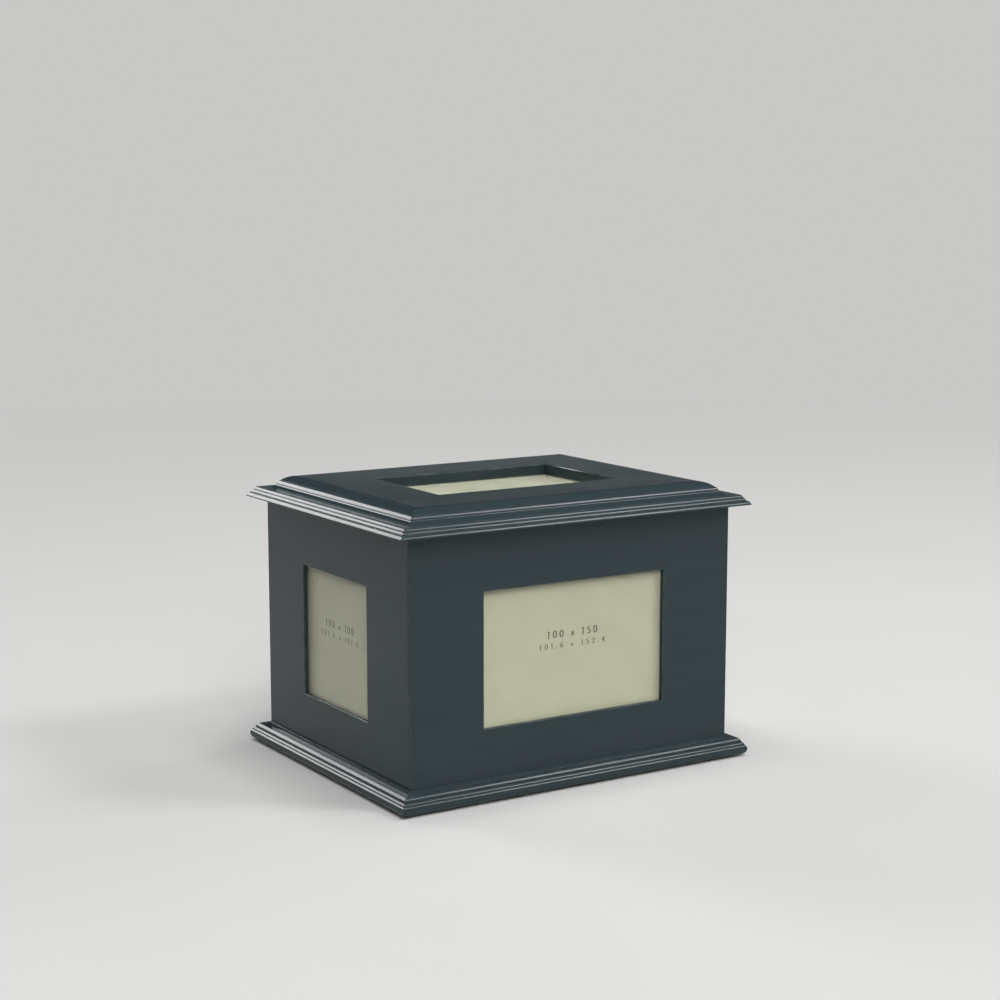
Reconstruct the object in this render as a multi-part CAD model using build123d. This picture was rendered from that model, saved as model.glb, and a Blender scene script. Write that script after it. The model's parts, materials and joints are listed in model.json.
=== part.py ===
from build123d import *
import os
from math import atan2, hypot, tan

# Wooden photo storage box with a hinged lid. The front, both sides and the lid each frame a print
# behind glass. Millimetres, +Z up, the front faces -Y, the lid hinges along the back (+Y), and the
# origin is the centre of the footprint on the surface that the box stands on.

# ---------------------------------------------------------------- driving dimensions
# prints, panes and what holds them
print_long = 152.4          # long side of the prints in the front and the lid
print_short = 101.6         # short side of those, and both sides of the square side prints
pane_play = 0.5             # room round a print or pane in its rebate, each side
frame_lip = 7.0             # width of wood that overlaps the pane's edge
glass_thickness = 1.6
card_thickness = 0.3
wall_backing_thickness = 4.0
lid_backing_thickness = 5.5
stack_play = 0.1            # depth that the stack of glass, card and backing leaves free

# carcase
wall_thickness = 9.0
wall_height = 172.0
wall_corner_radius = 1.0
window_sill = 44.3          # lower edge of the wall windows above the foot of the walls
opening_arris = 0.6         # eased edge round each window
floor_thickness = 4.0       # bottom panel, held in a groove
floor_height = 9.0          # underside of the bottom panel above the foot of the walls
groove_depth = 3.5
groove_play = 0.15

# lid
lid_gap = 0.3               # between the walls' top edges and the closed lid
lid_thickness = 15.0
lid_rail_width = 65.0
lid_overhang = 10.5         # how far the lid's edge stands out past the walls

# stepped edge of the lid, from its lower outer arris upwards and inwards: (inwards, upwards) each
lip_land = 0.4
lip_bead = (2.0, 2.0)
lid_quirk = (0.6, 0.7)
lid_bead = (1.7, 1.5)
bead_line = 0.2             # fine step between the two beads of a pair
cove_ledge = 0.3
lid_cove = (9.4, 2.4)
lid_fillet_bead = (1.6, 2.6)
shoulder_width = 9.2
bead_roundness = 0.18       # bulge of a bead as a share of its chord
cove_hollow = 0.1           # hollow of a cove as a share of its chord

# foot moulding, the same way, from its bull nose upwards and inwards
foot_projection = 11.0
nose_underside = 2.2
nose_widest = 2.8
nose_top = (0.9, 5.0)
foot_bead = (1.3, 1.35)
foot_quirk = (0.4, 0.6)
foot_fillet_bead = (1.9, 2.4)
foot_cove_rise = 1.8
foot_land = 0.8

# felt pads under the corners
pad_radius = 6.0
pad_thickness = 1.2

# butt hinges
hinge_length = 38.0
hinge_inset = 44.2          # from the end of the back wall to the middle of a hinge
leaf_thickness = 1.0
leaf_margin = 1.4           # wood between the inner edge of a leaf and the wall's inner face
knuckle_radius = 2.5
knuckle_count = 3
hinge_play = 0.3            # between parts that turn past each other
pin_radius = 1.0
pin_play = 0.05
pin_stub = 0.6              # how far the pin stands out of the outer knuckles
mortise_play = 0.1

# screws
hinge_screw_radius = 1.1
hinge_screw_head_radius = 2.0   # the countersunk head is as deep as the leaf
hinge_screw_length = 6.0    # short enough to stay inside the coved edge of the lid
hinge_screw_spread = 24.0   # between the two screws of one leaf
button_screw_radius = 1.4
button_screw_head_radius = 2.8
button_screw_head_height = 1.7
button_screw_depth = 5.5    # in the wood
pilot_play = 0.05
shank_sides = 12            # shanks and pilot holes are prisms, which is close enough to round

# turn buttons that hold the backing boards
button_reach = 14.0         # pivot to tip
button_width = 7.0
button_corner = 1.8         # clipped corners of the tip
button_thickness = 1.0
button_play = 0.3           # wood to button
button_head_play = 0.2      # button to screw head
button_setback = 5.0        # rebate edge to pivot

# ---------------------------------------------------------------- worked out from them
rebate_long = print_long + 2 * pane_play
rebate_short = print_short + 2 * pane_play
opening_long = rebate_long - 2 * frame_lip
opening_short = rebate_short - 2 * frame_lip
lid_width = opening_long + 2 * lid_rail_width
lid_depth = opening_short + 2 * lid_rail_width
body_width = lid_width - 2 * lid_overhang
body_depth = lid_depth - 2 * lid_overhang
foot_level = pad_thickness
wall_top = foot_level + wall_height
lid_level = wall_top + lid_gap
lid_top = lid_level + lid_thickness
window_height = foot_level + window_sill + opening_short / 2
pane_depth = glass_thickness + card_thickness + stack_play
wall_rebate_depth = pane_depth + wall_backing_thickness
lid_rebate_depth = pane_depth + lid_backing_thickness
leaf_seat = wall_thickness - leaf_margin
pin_offset = knuckle_radius + hinge_play
pin_y = body_depth / 2 + pin_offset
pin_z = wall_top + lid_gap / 2
knuckle_pitch = (hinge_length + hinge_play) / knuckle_count
turning_clearance = knuckle_radius + hinge_play
button_screw_seat = button_play + button_thickness + button_head_play

SIDES = ("front", "right", "back", "left")
PRINT_LENGTH = {"front": print_long, "left": print_short, "right": print_short, "lid": print_long}


class Outline:
    """A closed profile drawn edge by edge; u runs inwards from the outer edge and v runs up."""

    def __init__(self, u, v):
        self.start = (u, v)
        self.at = (u, v)
        self.edges = []

    def line(self, du, dv):
        """Straight edge by (du, dv)."""
        end = (self.at[0] + du, self.at[1] + dv)
        self.edges.append(Line(self.at, end))
        self.at = end
        return self

    def arc(self, du, dv, sagitta):
        """Arc by (du, dv); a positive sagitta bulges out of the wood, a negative one hollows it."""
        end = (self.at[0] + du, self.at[1] + dv)
        chord = hypot(du, dv)
        middle = (
            self.at[0] + du / 2 - sagitta * dv / chord,
            self.at[1] + dv / 2 + sagitta * du / chord,
        )
        self.edges.append(ThreePointArc(self.at, middle, end))
        self.at = end
        return self

    def bead(self, size):
        """Small convex round by size, given as (inwards, upwards)."""
        return self.arc(*size, bead_roundness * hypot(*size))

    def cove(self, size):
        """Hollow by size, given as (inwards, upwards)."""
        return self.arc(*size, -cove_hollow * hypot(*size))

    def round_to_level(self, du, dv):
        """Convex round by (du, dv) that ends level."""
        return self.arc(du, dv, hypot(du, dv) / 2 * tan(atan2(dv, du) / 2))

    def face(self):
        """The profile as a face."""
        self.edges.append(Line(self.at, self.start))
        return make_face(self.edges)


# ---------------------------------------------------------------- placing helpers
def side_place(side, across, level):
    """Local frame of one side: x along it, y inwards from its outer face, z up from level."""
    quarter_turns = SIDES.index(side)
    return Rot(0, 0, 90 * quarter_turns) * Pos(0, -across / 2, level)


def mitred(profile, length):
    """A bar of that profile and outer length along X, with both ends mitred at 45 degrees."""
    depth = profile.bounding_box().max.X
    height = profile.bounding_box().max.Y
    half = length / 2
    plan = Polyline((-half, 0), (half, 0), (half - depth, depth), (depth - half, depth), close=True)
    return extrude(Plane.YZ * profile, half, both=True) & extrude(make_face(plan), height)


def block(x_size, y_range, z_range):
    """A box centred on x, between two values of y and of z."""
    size = (x_size, y_range[1] - y_range[0], z_range[1] - z_range[0])
    return Pos(0, sum(y_range) / 2, sum(z_range) / 2) * Box(*size)


def hinge_rod(radius, length):
    """A cylinder on the hinge pin's axis, centred on the hinge."""
    return Pos(0, pin_y, pin_z) * Rot(0, 90, 0) * Cylinder(radius, length)


# ---------------------------------------------------------------- profiles
def wall_profile():
    """Plain board with the groove for the bottom panel on its inner face."""
    groove_height = floor_thickness + 2 * groove_play
    outline = Outline(0, 0).line(0, wall_height).line(wall_thickness, 0)
    outline.line(0, floor_height + floor_thickness + groove_play - wall_height)
    outline.line(-groove_depth, 0).line(0, -groove_height).line(groove_depth, 0)
    return outline.line(0, groove_play - floor_height).face()


def foot_profile():
    """Bull nose, pair of beads, quirk, fillet bead and a cove up to the wall."""
    outline = Outline(foot_projection, 0)
    outline.line(nose_underside - foot_projection, 0)
    nose = ThreePointArc(outline.at, (0, nose_widest), nose_top)
    outline.edges.append(nose)
    outline.at = nose_top
    outline.bead(foot_bead).line(0, bead_line).bead(foot_bead)
    outline.line(foot_quirk[0], 0).line(0, foot_quirk[1])
    outline.bead(foot_fillet_bead).line(cove_ledge, 0)
    cove_width = foot_projection - foot_land - outline.at[0]
    return outline.cove((cove_width, foot_cove_rise)).line(foot_land, 0).face()


def rail_profile():
    """Lid rail: stepped and coved outer edge, level top, eased window edge and the pane's rebate."""
    outline = Outline(0, 0).line(0, lip_land).bead(lip_bead)
    outline.line(lid_quirk[0], 0).line(0, lid_quirk[1])
    outline.bead(lid_bead).line(0, bead_line).bead(lid_bead).line(cove_ledge, 0)
    outline.cove(lid_cove).bead(lid_fillet_bead).line(cove_ledge, 0)
    outline.round_to_level(shoulder_width, lid_thickness - outline.at[1])
    outline.line(lid_rail_width - opening_arris - outline.at[0], 0)
    outline.line(opening_arris, -opening_arris)
    outline.line(0, lid_rebate_depth + opening_arris - lid_thickness)
    return outline.line(-frame_lip, 0).line(0, -lid_rebate_depth).face()


# ---------------------------------------------------------------- screws
def shank(radius, depth):
    """Shank of a screw, or the pilot hole for one, from z = 0 down."""
    return extrude(RegularPolygon(radius, shank_sides), -depth)


def button_screw():
    """Turn button screw: head above z = 0, shank below."""
    height = button_screw_head_height
    head = Pos(0, 0, height / 2) * Cylinder(button_screw_head_radius, height)
    return head + shank(button_screw_radius, button_screw_seat + button_screw_depth)


def hinge_screw(play=0):
    """Countersunk hinge screw with its head flush with z = 0, or the hole for one."""
    radius = hinge_screw_radius + play
    head = Cone(radius, hinge_screw_head_radius + play, leaf_thickness)
    return Pos(0, 0, -leaf_thickness / 2) * head + shank(radius, hinge_screw_length + play)


# ---------------------------------------------------------------- what every window holds
def button_pivots(name):
    """Local z of the two turn buttons of a window, beyond the long edges of its rebate."""
    ends = ("back", "front") if name == "lid" else ("upper", "lower")
    setback = rebate_short / 2 + button_setback
    return dict(zip(ends, (setback, -setback)))


def turn_button():
    """Stamped tab pointing down from its pivot hole, just clear of y = 0."""
    half = button_width / 2
    tab = Polyline(
        (-half, 0),
        (-half, button_corner - button_reach),
        (button_corner - half, -button_reach),
        (half - button_corner, -button_reach),
        (half, button_corner - button_reach),
        (half, 0),
        close=True,
    )
    sheet = make_face(tab) + Circle(half) - Circle(button_screw_radius + pin_play)
    flat = extrude(sheet, button_thickness)
    return Pos(0, button_play + button_thickness, 0) * Rot(90, 0, 0) * flat


def window_parts(name):
    """Glass, card, backing board, turn buttons and their screws, in a window's local frame."""
    thickness = lid_thickness if name == "lid" else wall_thickness
    layers = {
        "glass": glass_thickness,
        "insert_card": card_thickness,
        "backing_board": lid_backing_thickness if name == "lid" else wall_backing_thickness,
    }
    parts = {}
    face = thickness - stack_play - sum(layers.values())
    for layer, depth in layers.items():
        height = (-print_short / 2, print_short / 2)
        parts[f"{name}_{layer}"] = block(PRINT_LENGTH[name], (face, face + depth), height)
        face += depth
    back_face = Pos(0, thickness, 0)
    screws = []
    for end, pivot in button_pivots(name).items():
        flip = Rot(0, 0 if pivot > 0 else 180, 0)
        parts[f"{name}_turn_button_{end}"] = back_face * Pos(0, 0, pivot) * flip * turn_button()
        screws.append(back_face * Pos(0, button_screw_seat, pivot) * Rot(-90, 0, 0) * button_screw())
    parts[f"{name}_button_screws"] = Compound(children=screws)
    return parts


def pilot_holes(name, thickness):
    """Blind holes for the two turn button screws, in a window's local frame."""
    hole = Rot(-90, 0, 0) * shank(button_screw_radius + pilot_play, button_screw_depth + pilot_play)
    return [Pos(0, thickness, pivot) * hole for pivot in button_pivots(name).values()]


# ---------------------------------------------------------------- carcase
def wall(side):
    """One wall with mitred ends, rounded outer corners, and its window or hinge mortises."""
    length, across = body_spans(side)
    board = side_place(side, across, foot_level) * mitred(wall_profile(), length)
    shell = extrude(RectangleRounded(body_width, body_depth, wall_corner_radius), wall_height)
    board &= Pos(0, 0, foot_level) * shell
    if side == "back":
        return board - [Pos(x, 0, 0) * wall_mortise() for x in hinge_places()]
    place = side_place(side, across, window_height)
    local = place.inverse() * board
    rebate = PRINT_LENGTH[side] + 2 * pane_play
    rebate_height = (-rebate_short / 2, rebate_short / 2)
    opening_height = (-opening_short / 2, opening_short / 2)
    local -= block(rebate - 2 * frame_lip, (0, wall_thickness), opening_height)
    local -= block(rebate, (wall_thickness - wall_rebate_depth, wall_thickness), rebate_height)
    local -= pilot_holes(side, wall_thickness)
    face_edges = local.edges().group_by(Axis.Y)[0]
    rim = face_edges.filter_by(lambda edge: abs(edge.center().Z) < rebate_short / 2)
    rim = rim.filter_by(lambda edge: abs(edge.center().X) < rebate / 2)
    return place * chamfer(rim, opening_arris)


def body_spans(side):
    """(length along the side, distance between the two outer faces across it) of the walls."""
    if side in ("front", "back"):
        return body_width, body_depth
    return body_depth, body_width


def bottom_panel():
    """Panel in the walls' grooves."""
    inset = wall_thickness - groove_depth + groove_play
    level = foot_level + floor_height
    plan = Rectangle(body_width - 2 * inset, body_depth - 2 * inset)
    return Pos(0, 0, level) * extrude(plan, floor_thickness)


def foot_moulding(side):
    """Mitred moulding round the foot of one wall."""
    length, across = body_spans(side)
    grow = 2 * foot_projection
    return side_place(side, across + grow, foot_level) * mitred(foot_profile(), length + grow)


def felt_pads():
    """Four pads centred under the corners of the walls, half below the moulding."""
    corners = GridLocations(body_width, body_depth, 2, 2)
    return Compound(children=[place * extrude(Circle(pad_radius), pad_thickness) for place in corners])


# ---------------------------------------------------------------- lid
def lid_rail(side):
    """One mitred rail of the lid."""
    along = lid_width if side in ("front", "back") else lid_depth
    across = lid_depth if side in ("front", "back") else lid_width
    rail = side_place(side, across, lid_level) * mitred(rail_profile(), along)
    if side == "back":
        rail -= [Pos(x, 0, 0) * lid_mortise() for x in hinge_places()]
    if side in ("front", "back"):
        rail -= [lid_window_place() * hole for hole in pilot_holes("lid", lid_thickness)]
    return rail


def lid_window_place():
    """Local frame of the lid's window: y points down from the top, z points to the back."""
    return Pos(0, 0, lid_top) * Rot(-90, 0, 0)


# ---------------------------------------------------------------- hinges
def hinge_places():
    """Centres of the left and the right hinge along X."""
    place = body_width / 2 - hinge_inset
    return (-place, place)


def knuckle_centres(owner):
    """Centres along X of the knuckles of the case leaf (outer ones) or of the lid leaf."""
    first = -(knuckle_count - 1) / 2
    parity = 0 if owner == "case" else 1
    return [(first + i) * knuckle_pitch for i in range(knuckle_count) if i % 2 == parity]


def leaf_plate():
    """Case leaf's plate in the wall's top edge, from the pin to its inner edge."""
    seat = body_depth / 2 - leaf_seat
    return block(hinge_length, (seat, pin_y), (wall_top - leaf_thickness, wall_top))


def flip_to_lid(shape):
    """The lid's half of something drawn for the case, mirrored in the plane through the pin."""
    return shape.mirror(Plane.XY.offset(pin_z))


def hinge_leaf(owner):
    """Leaf with its knuckles, bore and countersunk holes, centred on X = 0."""
    other = "lid" if owner == "case" else "case"
    leaf = leaf_plate()
    leaf -= [
        Pos(x, 0, 0) * hinge_rod(turning_clearance, knuckle_pitch + hinge_play)
        for x in knuckle_centres(other)
    ]
    leaf += [
        Pos(x, 0, 0) * hinge_rod(knuckle_radius, knuckle_pitch - hinge_play)
        for x in knuckle_centres(owner)
    ]
    leaf -= hinge_rod(pin_radius + pin_play, 2 * hinge_length)
    leaf -= [place * hinge_screw(pilot_play) for place in hinge_screw_places()]
    return leaf if owner == "case" else flip_to_lid(leaf)


def hinge_screw_places():
    """Places of a case leaf's screw heads, centred on X = 0."""
    y = (body_depth - leaf_seat) / 2
    return [Pos(x, y, wall_top) for x in (-hinge_screw_spread / 2, hinge_screw_spread / 2)]


def wall_mortise():
    """Seat of a case leaf in the back wall's top edge, with its pilot holes."""
    seat = body_depth / 2 - leaf_seat - mortise_play
    length = hinge_length + 2 * mortise_play
    plate = block(length, (seat, pin_y), (wall_top - leaf_thickness, wall_top))
    return plate + [place * hinge_screw(pilot_play) for place in hinge_screw_places()]


def lid_mortise():
    """Seat of a lid leaf in the back rail's underside, with the channel for the knuckles."""
    channel = hinge_rod(turning_clearance, hinge_length + 2 * (pin_stub + hinge_play))
    return flip_to_lid(wall_mortise()) + channel


def hinge_pin():
    """Pin through all the knuckles, centred on X = 0."""
    return hinge_rod(pin_radius, hinge_length + 2 * pin_stub)


def hinge_screws(owner):
    """The screws of both hinges' leaves on the case or on the lid."""
    screws = [
        Pos(x, 0, 0) * place * hinge_screw()
        for x in hinge_places()
        for place in hinge_screw_places()
    ]
    return Compound(children=[s if owner == "case" else flip_to_lid(s) for s in screws])


# ---------------------------------------------------------------- the whole box
def build_nodes():
    """Every node's shape by name."""
    nodes = {f"{side}_wall": wall(side) for side in SIDES}
    nodes["bottom_panel"] = bottom_panel()
    nodes |= {f"foot_moulding_{side}": foot_moulding(side) for side in SIDES}
    nodes["felt_pads"] = felt_pads()
    for side in ("front", "left", "right"):
        place = side_place(side, body_spans(side)[1], window_height)
        nodes |= {name: place * shape for name, shape in window_parts(side).items()}
    nodes |= {f"lid_rail_{side}": lid_rail(side) for side in SIDES}
    nodes |= {name: lid_window_place() * shape for name, shape in window_parts("lid").items()}
    for side, x in zip(("left", "right"), hinge_places()):
        nodes[f"case_hinge_leaf_{side}"] = Pos(x, 0, 0) * hinge_leaf("case")
        nodes[f"lid_hinge_leaf_{side}"] = Pos(x, 0, 0) * hinge_leaf("lid")
        nodes[f"hinge_pin_{side}"] = Pos(x, 0, 0) * hinge_pin()
    for owner in ("case", "lid"):
        nodes[f"{owner}_hinge_screws"] = hinge_screws(owner)
    return nodes


os.makedirs("parts", exist_ok=True)
for node, shape in build_nodes().items():
    export_step(shape, f"parts/{node}.step")
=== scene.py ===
"""Looks of a lacquered photo storage box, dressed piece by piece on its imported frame.

Lengths are metres in the box's own frame: +Z up, the front faces -Y, the lid hinges along the back (+Y), and
the origin is the centre of the footprint on the surface that the box stands on. MM is a millimetre in metres,
and places within HAIR of each other count as one.
"""

import json
import logging
import math
from dataclasses import dataclass, field
from enum import Enum
from functools import cache

import bmesh
import bpy
import numpy as np
from mathutils import Matrix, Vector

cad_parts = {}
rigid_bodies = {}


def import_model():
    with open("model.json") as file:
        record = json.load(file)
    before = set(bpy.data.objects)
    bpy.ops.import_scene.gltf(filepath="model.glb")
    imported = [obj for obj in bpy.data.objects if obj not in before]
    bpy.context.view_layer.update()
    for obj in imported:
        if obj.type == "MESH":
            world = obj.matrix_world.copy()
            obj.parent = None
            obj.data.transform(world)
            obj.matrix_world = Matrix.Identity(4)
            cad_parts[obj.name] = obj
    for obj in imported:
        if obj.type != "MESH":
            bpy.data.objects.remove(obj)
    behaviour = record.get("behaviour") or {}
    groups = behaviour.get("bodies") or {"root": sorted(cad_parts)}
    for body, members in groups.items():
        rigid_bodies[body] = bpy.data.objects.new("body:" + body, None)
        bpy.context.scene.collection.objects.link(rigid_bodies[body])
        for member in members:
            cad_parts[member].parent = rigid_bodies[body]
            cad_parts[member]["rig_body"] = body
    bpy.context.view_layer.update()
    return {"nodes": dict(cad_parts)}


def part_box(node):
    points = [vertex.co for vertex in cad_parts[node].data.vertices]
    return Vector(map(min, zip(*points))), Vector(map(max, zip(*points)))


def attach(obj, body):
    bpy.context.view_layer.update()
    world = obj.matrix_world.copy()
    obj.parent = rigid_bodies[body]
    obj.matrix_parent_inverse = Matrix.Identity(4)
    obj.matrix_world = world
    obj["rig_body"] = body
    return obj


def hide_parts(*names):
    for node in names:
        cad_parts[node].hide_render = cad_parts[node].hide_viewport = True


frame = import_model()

MM = 0.001
QUARTER = math.pi / 2
HAIR = 1e-7
SMOOTH_BELOW = 38.0
LOG = logging.getLogger("photo_box")

Colour = tuple[float, float, float]
Pair = tuple[float, float]
Socket = bpy.types.NodeSocket


# ---------------------------------------------------------------- places and sizes read from the frame
class Side(Enum):
    """The four sides of the box, by quarter turns from the front."""

    FRONT = 0
    RIGHT = 1
    BACK = 2
    LEFT = 3

    @property
    def word(self) -> str:
        """The side's name as the nodes spell it."""
        return self.name.lower()

    @property
    def along_x(self) -> bool:
        """True if the side runs along X."""
        return self in (Side.FRONT, Side.BACK)


@dataclass(frozen=True)
class Place:
    """A local frame: x along a side, y inwards from its outer face, z up.

    Args:
        turn: rotation matrix from the local frame to the box's.
        shift: the local origin in the box's frame.
    """

    turn: np.ndarray
    shift: np.ndarray

    def __call__(self, points: np.ndarray) -> np.ndarray:
        """Points of the local frame, in the box's frame."""
        return points @ self.turn.T + self.shift

    @classmethod
    def on_side(cls, side: Side, across: float, level: float) -> "Place":
        """Local frame of one side.

        Args:
            side: which side.
            across: distance between the outer faces of this side and the one opposite.
            level: height of the local origin.

        Returns:
            The frame, turned about Z by the side's quarter turns.
        """
        angle = side.value * QUARTER
        cos, sin = round(math.cos(angle)), round(math.sin(angle))
        turn = np.array([[cos, -sin, 0.0], [sin, cos, 0.0], [0.0, 0.0, 1.0]])
        return cls(turn, turn @ np.array([0.0, -across / 2, 0.0]) + np.array([0.0, 0.0, level]))

    @classmethod
    def on_lid(cls, top: float) -> "Place":
        """Local frame of the lid's window: y points down from the top face and z to the back."""
        return cls(np.array([[1.0, 0.0, 0.0], [0.0, 0.0, 1.0], [0.0, -1.0, 0.0]]), np.array([0.0, 0.0, top]))

    @classmethod
    def swapped(cls, shift: tuple[float, float, float] = (0.0, 0.0, 0.0)) -> "Place":
        """A frame whose y is the outer z and whose z is the outer y."""
        return cls(np.array([[1.0, 0.0, 0.0], [0.0, 0.0, 1.0], [0.0, 1.0, 0.0]]), np.array(shift))


def node_box(node: str) -> tuple[np.ndarray, np.ndarray]:
    """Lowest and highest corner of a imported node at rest."""
    low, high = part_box(node)
    return np.array(low), np.array(high)


def node_size(node: str) -> np.ndarray:
    """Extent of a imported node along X, Y and Z."""
    low, high = node_box(node)
    return high - low


# ---------------------------------------------------------------- surfaces
class Shell:
    """One piece's skin, gathered patch by patch, and closed by merging the points that patches share.

    Each point carries an edge value: 1 on an eased arris, -1 in a crevice, 0 on open faces.
    """

    MERGE = 0.0005 * MM

    def __init__(self) -> None:
        """Start with no patch."""
        self.points: list[np.ndarray] = []
        self.edges: list[np.ndarray] = []
        self.faces: list[tuple[int, ...]] = []
        self.count = 0

    def _take(self, points: np.ndarray, edge: np.ndarray | float) -> int:
        """Store points with their edge values, and give the number of the first."""
        first = self.count
        self.points.append(points.reshape(-1, 3))
        self.edges.append(np.broadcast_to(edge, points.shape[:-1]).reshape(-1))
        self.count += len(self.points[-1])
        return first

    def grid(self, points: np.ndarray, edge: np.ndarray | float = 0.0, loop: bool = False,
             skip: np.ndarray | None = None) -> None:
        """Add closed rings joined by quads: point (i, j) joins (i, j + 1), (i + 1, j + 1) and (i + 1, j).

        Args:
            points: rings by points by xyz.
            edge: edge values that broadcast to the points.
            loop: the last ring joins the first.
            skip: True for quads to leave out, by ring and point.
        """
        rows, columns = points.shape[:2]
        first = self._take(points, edge)
        row = np.arange(rows if loop else rows - 1)[:, None]
        column = np.arange(columns)[None, :]
        below = (row + 1) % rows
        beside = (column + 1) % columns
        corners = np.stack([row * columns + column, row * columns + beside,
                            below * columns + beside, below * columns + column], axis=-1)
        if skip is not None:
            corners = corners[~skip]
        self.faces.extend(map(tuple, (corners.reshape(-1, 4) + first).tolist()))

    def cap(self, ring: np.ndarray, edge: np.ndarray | float = 0.0) -> None:
        """Close a ring of points with one flat face."""
        first = self._take(ring, edge)
        self.faces.append(tuple(range(first, first + len(ring))))

    @classmethod
    def tube(cls, rings: np.ndarray, edge: np.ndarray | float = 0.0,
             skip: np.ndarray | None = None) -> "Shell":
        """Rings joined in order, with a cap on the first and the last.

        Args:
            rings: rings by points by xyz.
            edge: edge values that broadcast to the points.
            skip: True for quads to leave out, by ring and point.

        Returns:
            The skin.
        """
        shell = cls()
        shell.grid(rings, edge, skip=skip)
        values = np.broadcast_to(edge, rings.shape[:-1])
        shell.cap(rings[0], values[0])
        shell.cap(rings[-1], values[-1])
        return shell

    @classmethod
    def joined(cls, shells: list["Shell"]) -> "Shell":
        """Several skins as one shell."""
        whole = cls()
        for shell in shells:
            whole.faces.extend(tuple(point + whole.count for point in face) for face in shell.faces)
            whole.points.extend(shell.points)
            whole.edges.extend(shell.edges)
            whole.count += shell.count
        return whole

    def moved(self, *places: Place) -> "Shell":
        """The shell itself, with its points taken out through those local frames in turn."""
        for place in places:
            self.points = [place(points) for points in self.points]
        return self

    def mesh(self, name: str, smooth_below: float = SMOOTH_BELOW) -> bpy.types.Mesh:
        """The skin as a closed mesh with its faces outwards.

        Args:
            name: the mesh's name.
            smooth_below: edges that turn by fewer degrees than this are shaded smooth.

        Returns:
            The mesh, with its edge values in the attribute "edge".
        """
        mesh = bpy.data.meshes.new(name)
        mesh.from_pydata(np.concatenate(self.points), [], self.faces)
        values = mesh.attributes.new("edge", "FLOAT", "POINT")
        values.data.foreach_set("value", np.concatenate(self.edges).astype(np.float32))
        work = bmesh.new()
        work.from_mesh(mesh)
        bmesh.ops.remove_doubles(work, verts=work.verts, dist=self.MERGE)
        bmesh.ops.dissolve_degenerate(work, edges=work.edges, dist=self.MERGE)
        bmesh.ops.recalc_face_normals(work, faces=work.faces)
        work.to_mesh(mesh)
        work.free()
        mesh.shade_smooth()
        mesh.set_sharp_from_angle(angle=math.radians(smooth_below))
        return mesh


@dataclass
class Section:
    """A closed profile; u runs inwards from the outer edge and v runs up.

    Args:
        points: one row of (u, v) for each point, in metres.
        edge: edge value of each point.
    """

    points: np.ndarray
    edge: np.ndarray

    def shrunk(self, depth: float) -> np.ndarray:
        """The points moved into the wood by depth, along the profile's normals."""
        ahead = np.roll(self.points, -1, axis=0) - np.roll(self.points, 1, axis=0)
        length = np.maximum(np.linalg.norm(ahead, axis=1, keepdims=True), 1e-12)
        return self.points + depth * np.stack([ahead[:, 1], -ahead[:, 0]], axis=1) / length


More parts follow.
